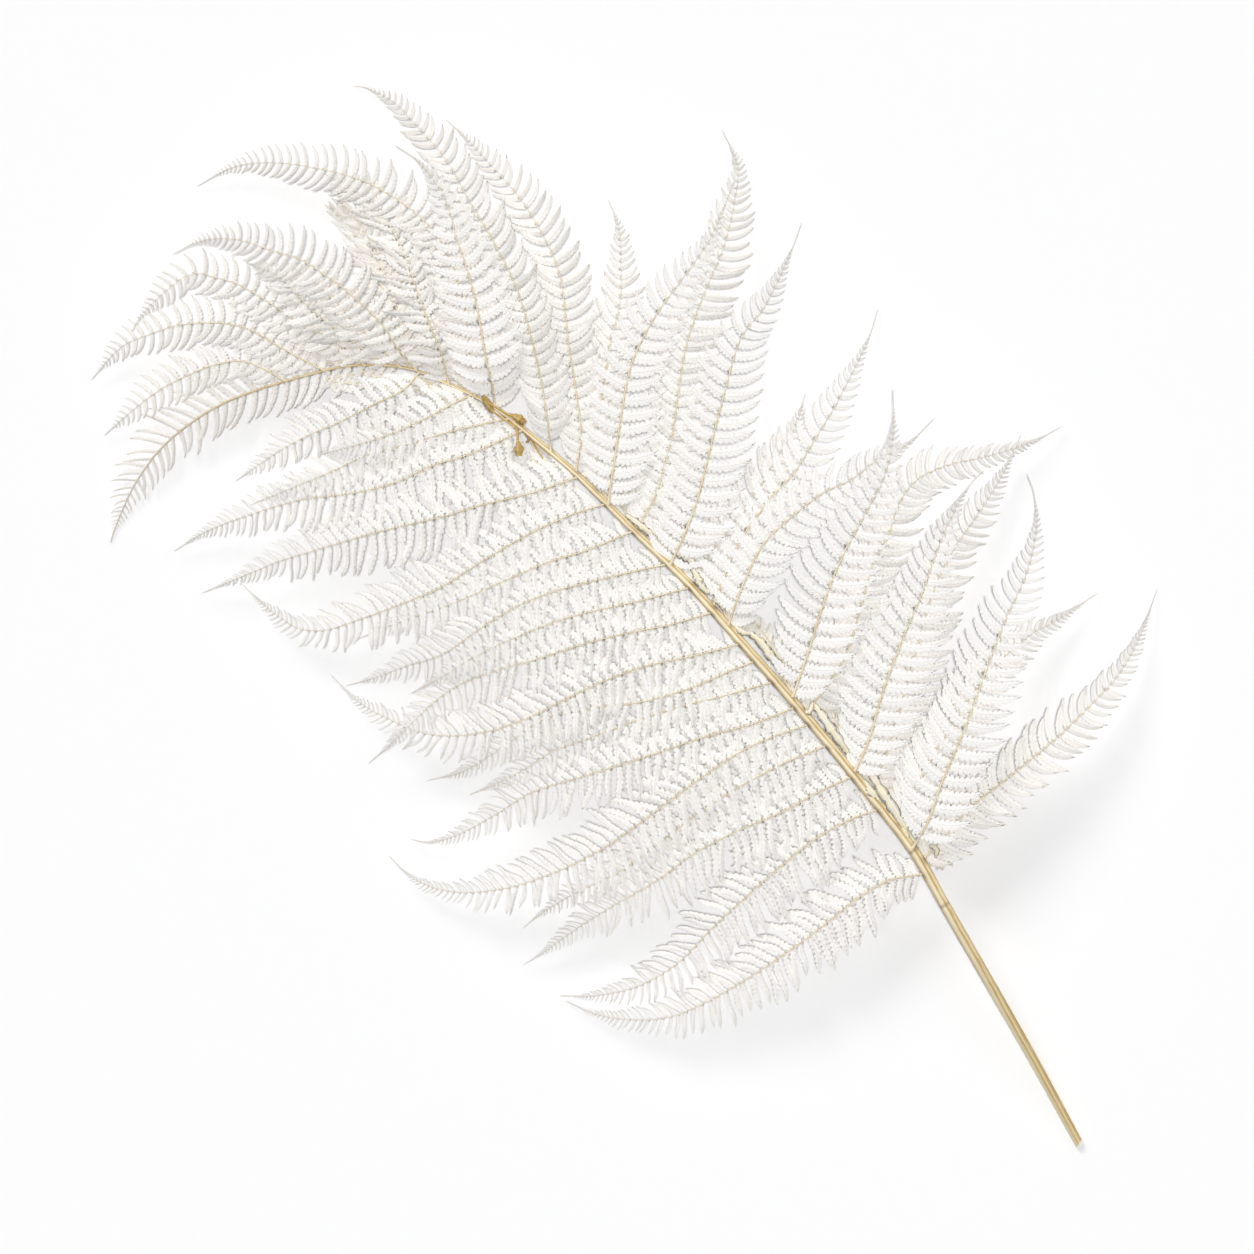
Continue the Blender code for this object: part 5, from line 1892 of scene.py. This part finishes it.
@dataclass
class DriedStubs:
    """The knot on the stem, with the dried stubs that hang from it."""

    finish: Material

    # Each point of a stub has its pixel, its height over the stem and its thickness in mm.
    STUBS = (
        ((483, 396, 0.8, 1.6), (486, 401, 1.3, 3.9), (490, 407, 1.4, 4.3), (493, 413, 0.6, 2.2)),
        ((488, 403, 2.8, 1.2), (497, 408, 3.6, 1.1), (507, 414, 3.4, 1.1), (513, 416, 3.0, 2.2),
         (519, 419, 2.8, 4.6), (525, 424, 2.2, 3.4)),
        ((486, 405, 2.2, 0.9), (495, 413, 2.8, 1.0), (506, 421, 2.8, 1.0), (516, 428, 2.0, 1.2)),
        ((516, 426, 1.0, 1.7), (518, 434, 2.2, 1.2), (518, 441, 3.0, 1.4), (519, 446, 3.0, 3.4),
         (519, 451, 2.8, 4.9), (519, 456, 2.4, 3.4)),
        ((526, 434, 0.6, 1.7), (529, 440, 1.4, 1.4), (526, 443, 1.6, 0.9)),
        ((532, 440, 0.2, 0.9), (536, 448, 0.8, 0.8), (543, 459, 0.4, 0.6)),
    )
    STEP = 0.5 * MM
    SEED = 9
    UNEVENNESS = (0.78, 1.18)
    LAST_ALONG = 0.5
    MARK_DEPTH = 0.3
    SETTINGS = {"Sides": 14, "Groove Depth": 0.35, "Groove Place": 0.6, "Rib Depth": 0.22,
                "Ribs": 4.0}

    def build(self, tree: NodeTree) -> None:
        """Make the stubs.

        Args:
            tree: The Geometry Nodes tree that sweeps them.
        """
        draw = random.Random(self.SEED)
        points, girths, alongs, marks, breaks = [], [], [], [], []
        for stub in self.STUBS:
            breaks.append(len(points))
            line = PlanLine([knot[:2] for knot in stub])
            knots = [line.nearest(PLAN.spot(knot[:2])) for knot in stub]
            count = round(line.length / self.STEP)
            for step in range(count + 1):
                distance = line.length * step / count
                rise, width = (
                    float(np.interp(distance, knots, [knot[size] for knot in stub])) * MM
                    for size in (2, 3))
                spot = line.point(distance)
                spot.z = RACHIS.height(RACHIS.nearest(spot)) + rise
                points.append(spot)
                girths.append(width / 2 * draw.uniform(*self.UNEVENNESS))
                alongs.append(self.LAST_ALONG * distance / line.length)
                marks.append(self.MARK_DEPTH * draw.random() ** 2)
        source = point_mesh("stub_lines", points, breaks, {
            "girth": girths, "along": alongs, "mark": marks})
        piece = grow("dried_stubs", source, tree, self.SETTINGS | {"Finish": self.finish})
        declare(piece, "straw")


@dataclass
class WitheredLeaflets:
    """Small cream and yellow leaflets that withered along the right side of the stem."""

    finish: Material

    # Each strip has its greatest width in mm and its line.
    STRIPS = (
        (5.6, ((745, 630), (760, 642), (773, 659), (784, 670), (793, 680))),
        (6.0, ((811, 702), (822, 716), (833, 732), (842, 745), (850, 757))),
        (6.2, ((866, 766), (874, 779), (883, 793), (895, 812), (905, 830), (916, 845))),
        (5.0, ((857, 775), (868, 788), (877, 800), (884, 814))),
        (3.8, ((693, 574), (699, 584), (705, 590))),
        (3.6, ((713, 598), (720, 604), (724, 611))),
        (3.4, ((929, 845), (936, 849), (935, 858))),
        (3.2, ((812, 701), (808, 712), (800, 706))),
        (5.6, ((667, 549), (676, 552), (688, 559), (698, 569))),
        (4.8, ((691, 568), (697, 577), (703, 588), (712, 595))),
        (4.4, ((626, 515), (637, 523), (650, 534), (659, 544))),
        (4.6, ((706, 590), (714, 592), (724, 598), (731, 606))),
        (3.8, ((734, 626), (742, 632), (752, 634))),
        (3.4, ((898, 826), (905, 832), (908, 843))),
    )
    RISE = 2.1 * MM
    STATIONS = 26
    LOBES = 5
    SEED = 21
    HALF_THICKNESS = 0.15 * MM
    LEAST_WIDTH = 0.12
    ARC_START = 0.08
    ARC_SHARE = 0.90
    ROUNDNESS = 0.6
    TILT = 0.10
    TILT_SWING = 0.18
    TILT_TURN = 6
    HEIGHT_JITTER = (-0.15, 0.25)
    HALF_WIDTHS = (0.55, 0.75)
    LOBE_DEPTH = 0.35
    CURLS = (0.0, 0.25)

    def build(self) -> None:
        """Make the strips."""
        shape = bmesh.new()
        out_layer = shape.verts.layers.float.new("leaf_out")
        across_layer = shape.verts.layers.float.new("leaf_across")
        draw = random.Random(self.SEED)
        for width, pixels in self.STRIPS:
            self._strip(shape, (out_layer, across_layer), PlanLine(pixels), width * MM, draw)
        mesh = bpy.data.meshes.new("withered_leaflets")
        shape.to_mesh(mesh)
        shape.free()
        mesh.materials.append(self.finish)
        piece = put_in_scene("withered_leaflets", mesh)
        keep_off_floor(mesh)
        declare(piece, "leaf")

    def _strip(self, shape: bmesh.types.BMesh, layers: tuple, line: PlanLine, width: float,
               draw: random.Random) -> None:
        """Add one strip, a thin closed shell that tapers at both ends.

        Args:
            shape: The mesh that it goes into.
            layers: Layers for the place out and the place across.
            line: The strip's line.
            width: Its greatest width.
            draw: Random numbers.
        """
        wave = draw.uniform(0, math.tau)
        rows = []
        for i in range(self.STATIONS + 1):
            share = i / self.STATIONS
            distance = line.length * share
            spot = line.point(distance)
            angle = line.heading(distance)
            beside = Vector((-math.sin(angle), math.cos(angle), 0.0))
            arc = math.sin(math.pi * (self.ARC_START + self.ARC_SHARE * share))
            half = width / 2 * max(self.LEAST_WIDTH, arc ** self.ROUNDNESS)
            thick = self.HALF_THICKNESS / half
            tilt = self.TILT + self.TILT_SWING * math.sin(wave + self.TILT_TURN * share)
            arm = beside * half * math.cos(tilt) + Vector(UP) * half * math.sin(tilt)
            spot.z = RACHIS.height(RACHIS.nearest(spot)) + self.RISE * math.sin(math.pi * share)
            spot.z += draw.uniform(*self.HEIGHT_JITTER) * MM
            lobe = abs(math.sin(math.pi * (self.LOBES * share + wave)))
            left, right = (draw.uniform(*self.HALF_WIDTHS) + self.LOBE_DEPTH * lobe
                           for _ in range(2))
            curl = draw.uniform(*self.CURLS)
            row = []
            for place, across, lift in ((-left, -1.0, curl), (0.0, 0.0, -thick),
                                        (right, 1.0, curl), (0.0, 0.0, thick)):
                point = shape.verts.new(spot + arm * place + Vector(UP) * half * lift)
                point[layers[0]] = share
                point[layers[1]] = across
                row.append(point)
            rows.append(row)
        for first, second in zip(rows, rows[1:]):
            for i in range(4):
                j = (i + 1) % 4
                face = shape.faces.new([first[i], second[i], second[j], first[j]])
                face.smooth = True
        shape.faces.new(rows[0])
        shape.faces.new(rows[-1][::-1])
        bmesh.ops.recalc_face_normals(shape, faces=shape.faces)


@dataclass
class Studio:
    """Pale ground, soft light from above, and the camera straight over the frond."""

    height: float = 6.0
    span: float = 0.627
    focus_height: float = 20 * MM
    sensor: float = 36.0
    clip: Span = (0.1, 100.0)
    ground_half: float = 15.0
    sky: Colour = (1.0, 1.0, 1.0)
    sky_strength: float = 0.128
    lamp_distance: float = 2.0
    lamps: tuple[tuple[str, float, float, float, float], ...] = (
        ("overhead_light", 1.79, math.radians(3), math.radians(90), 0.0),
        ("key_light", 1.26, math.radians(24), math.radians(35), math.radians(-34)),
        ("fill_light", 0.44, math.radians(50), math.radians(45), math.radians(50)),
    )

    def build(self) -> None:
        """Set the scene."""
        self._camera()
        self._ground()
        self._light()

    def _camera(self) -> None:
        """Hang the camera over the middle of the top view, with the top view's up as its up."""
        data = bpy.data.cameras.new("top_camera")
        data.sensor_width = self.sensor
        data.lens = self.sensor * (self.height - self.focus_height) / self.span
        data.clip_start, data.clip_end = self.clip
        camera = put_in_scene("top_camera", data)
        camera.location = (*PLAN.spot(PLAN.centre)[:2], self.height)
        camera.rotation_euler = (0.0, 0.0, -PLAN.turn)
        bpy.context.scene.camera = camera

    def _ground(self) -> None:
        """Lay the ground, which isn't part of the frond."""
        half = self.ground_half
        mesh = bpy.data.meshes.new("ground")
        mesh.from_pydata([(-half, -half, 0), (half, -half, 0), (half, half, 0),
                          (-half, half, 0)], [], [(0, 1, 2, 3)])
        mesh.materials.append(GroundFinish().build())
        put_in_scene("ground", mesh)

    def _light(self) -> None:
        """Light the frond from the sky, from above and from the picture's two top corners."""
        world = bpy.data.worlds.new("soft_sky")
        bpy.context.scene.world = world
        world.use_nodes = True
        backdrop = world.node_tree.nodes["Background"]
        backdrop.inputs[0].default_value = (*self.sky, 1.0)
        backdrop.inputs[1].default_value = self.sky_strength
        for name, strength, softness, slope, turn in self.lamps:
            lamp = bpy.data.lights.new(name, "SUN")
            lamp.energy = strength
            lamp.angle = softness
            item = put_in_scene(name, lamp)
            level = Vector((math.sin(PLAN.turn + turn), math.cos(PLAN.turn + turn), 0.0))
            towards = level * math.cos(slope) + Vector(UP) * math.sin(slope)
            item.location = towards * self.lamp_distance
            item.rotation_euler = towards.to_track_quat("Z", "Y").to_euler()
        bpy.context.scene.view_settings.view_transform = "Standard"


def finishes(effects: SharedEffects) -> dict[str, Material]:
    """Make every finish of the frond.

    Args:
        effects: The shared shader groups.

    Returns:
        The materials by a short name.
    """
    midrib = {"far": (0.80, 0.74, 0.66), "fibres": 4.0, "stretch": 10.0, "blotch": 0.12,
              "groove_at": 0.5}
    made = (
        LeafFinish("bleached_leaf"),
        # The rolled leaf's warm rim colour is partly painted warm shade in the gaps between the
        # hanging leaflets.
        LeafFinish("bleached_leaf_rolled", shading=0.25, rim=(0.78, 0.62, 0.42), rim_stain_and_shade_amount=0.18,
                   notch_stain_and_shade_amount=0.40, tip_amount=0.15),
        # A darker copy of the bleached leaf, with more of its shaded colour, for the back pinnae
        # and the leafy end: painted shade.
        LeafFinish("bleached_leaf_thin", lit=(0.965, 0.945, 0.915), shading=0.45,
                   rim=(0.72, 0.60, 0.48), rim_stain_and_shade_amount=0.22, tip_amount=0.24,
                   leaf_end_amount=0.12),
        # The crumpled leaf mixes in much more of its warm shaded colour: painted shade in the dense
        # crumpled mass.
        LeafFinish("bleached_leaf_crumpled", shaded=(0.88, 0.82, 0.75), shading=0.7,
                   rim=(0.74, 0.62, 0.50), rim_stain_and_shade_amount=0.24, tip_amount=0.18),
        LeafFinish("basal_leaf", lit=(0.98, 0.96, 0.91), shaded=(0.94, 0.88, 0.73), shading=0.55,
                   root=(0.96, 0.91, 0.79), vein=(0.94, 0.89, 0.77), rim_stain_and_shade_amount=0.30),
        StemFinish(),
        StalkFinish("cut_straw", far=(0.40, 0.22, 0.06), mark=(0.30, 0.16, 0.05),
                    body=(0.40, 0.23, 0.07), pale=(0.55, 0.36, 0.13), dark=(0.25, 0.14, 0.05)),
        StalkFinish("dried_stub", body=(0.78, 0.50, 0.12), pale=(0.99, 0.82, 0.40),
                    dark=(0.24, 0.11, 0.02), far=(0.74, 0.46, 0.12), stretch=9.0,
                    roughness=0.34, blotch=0.75),
        StalkFinish("cream_midrib", body=(0.82, 0.69, 0.46), pale=(0.92, 0.84, 0.68),
                    dark=(0.66, 0.51, 0.28), far_start=0.3, **midrib),
        StalkFinish("beige_midrib", body=(0.78, 0.66, 0.44), pale=(0.90, 0.80, 0.60),
                    dark=(0.62, 0.48, 0.27), far_start=0.4, **midrib),
        StalkFinish("gold_end", body=(0.76, 0.58, 0.30), pale=(0.90, 0.79, 0.54),
                    dark=(0.46, 0.31, 0.12), far=(0.66, 0.59, 0.50), far_start=0.8,
                    fibres=6.0),
        WitheredFinish(),
    )
    return {finish.name: finish.build(effects) for finish in made}


def main() -> None:
    """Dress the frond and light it."""
    logging.basicConfig(level=logging.INFO, format="%(message)s")
    Studio().build()
    skins = finishes(SharedEffects())
    stalk = StalkTree().build()
    Stem(skins["straw_stem"], skins["cut_straw"]).build(stalk)
    DriedStubs(skins["dried_stub"]).build(stalk)
    WitheredLeaflets(skins["withered_leaf"]).build()
    # thin is the darker copy of the leaf with painted shade, used for the back pinnae and the leafy
    # end.
    leaf, thin = skins["bleached_leaf"], skins["bleached_leaf_thin"]
    Foliage(
        tree=PinnaTree().build(),
        leaves={Habit.FLAT: leaf, Habit.LEAFY_END: thin, Habit.LOOSE: thin, Habit.OUTER: thin,
                Habit.ROLLED: skins["bleached_leaf_rolled"],
                Habit.CRUMPLED: skins["bleached_leaf_crumpled"]},
        ribs={Side.RIGHT: skins["cream_midrib"], Side.LEFT: skins["beige_midrib"]},
        end_rib=skins["gold_end"],
        basal_leaf=skins["basal_leaf"],
    ).build()


if __name__ == "__main__":
    main()
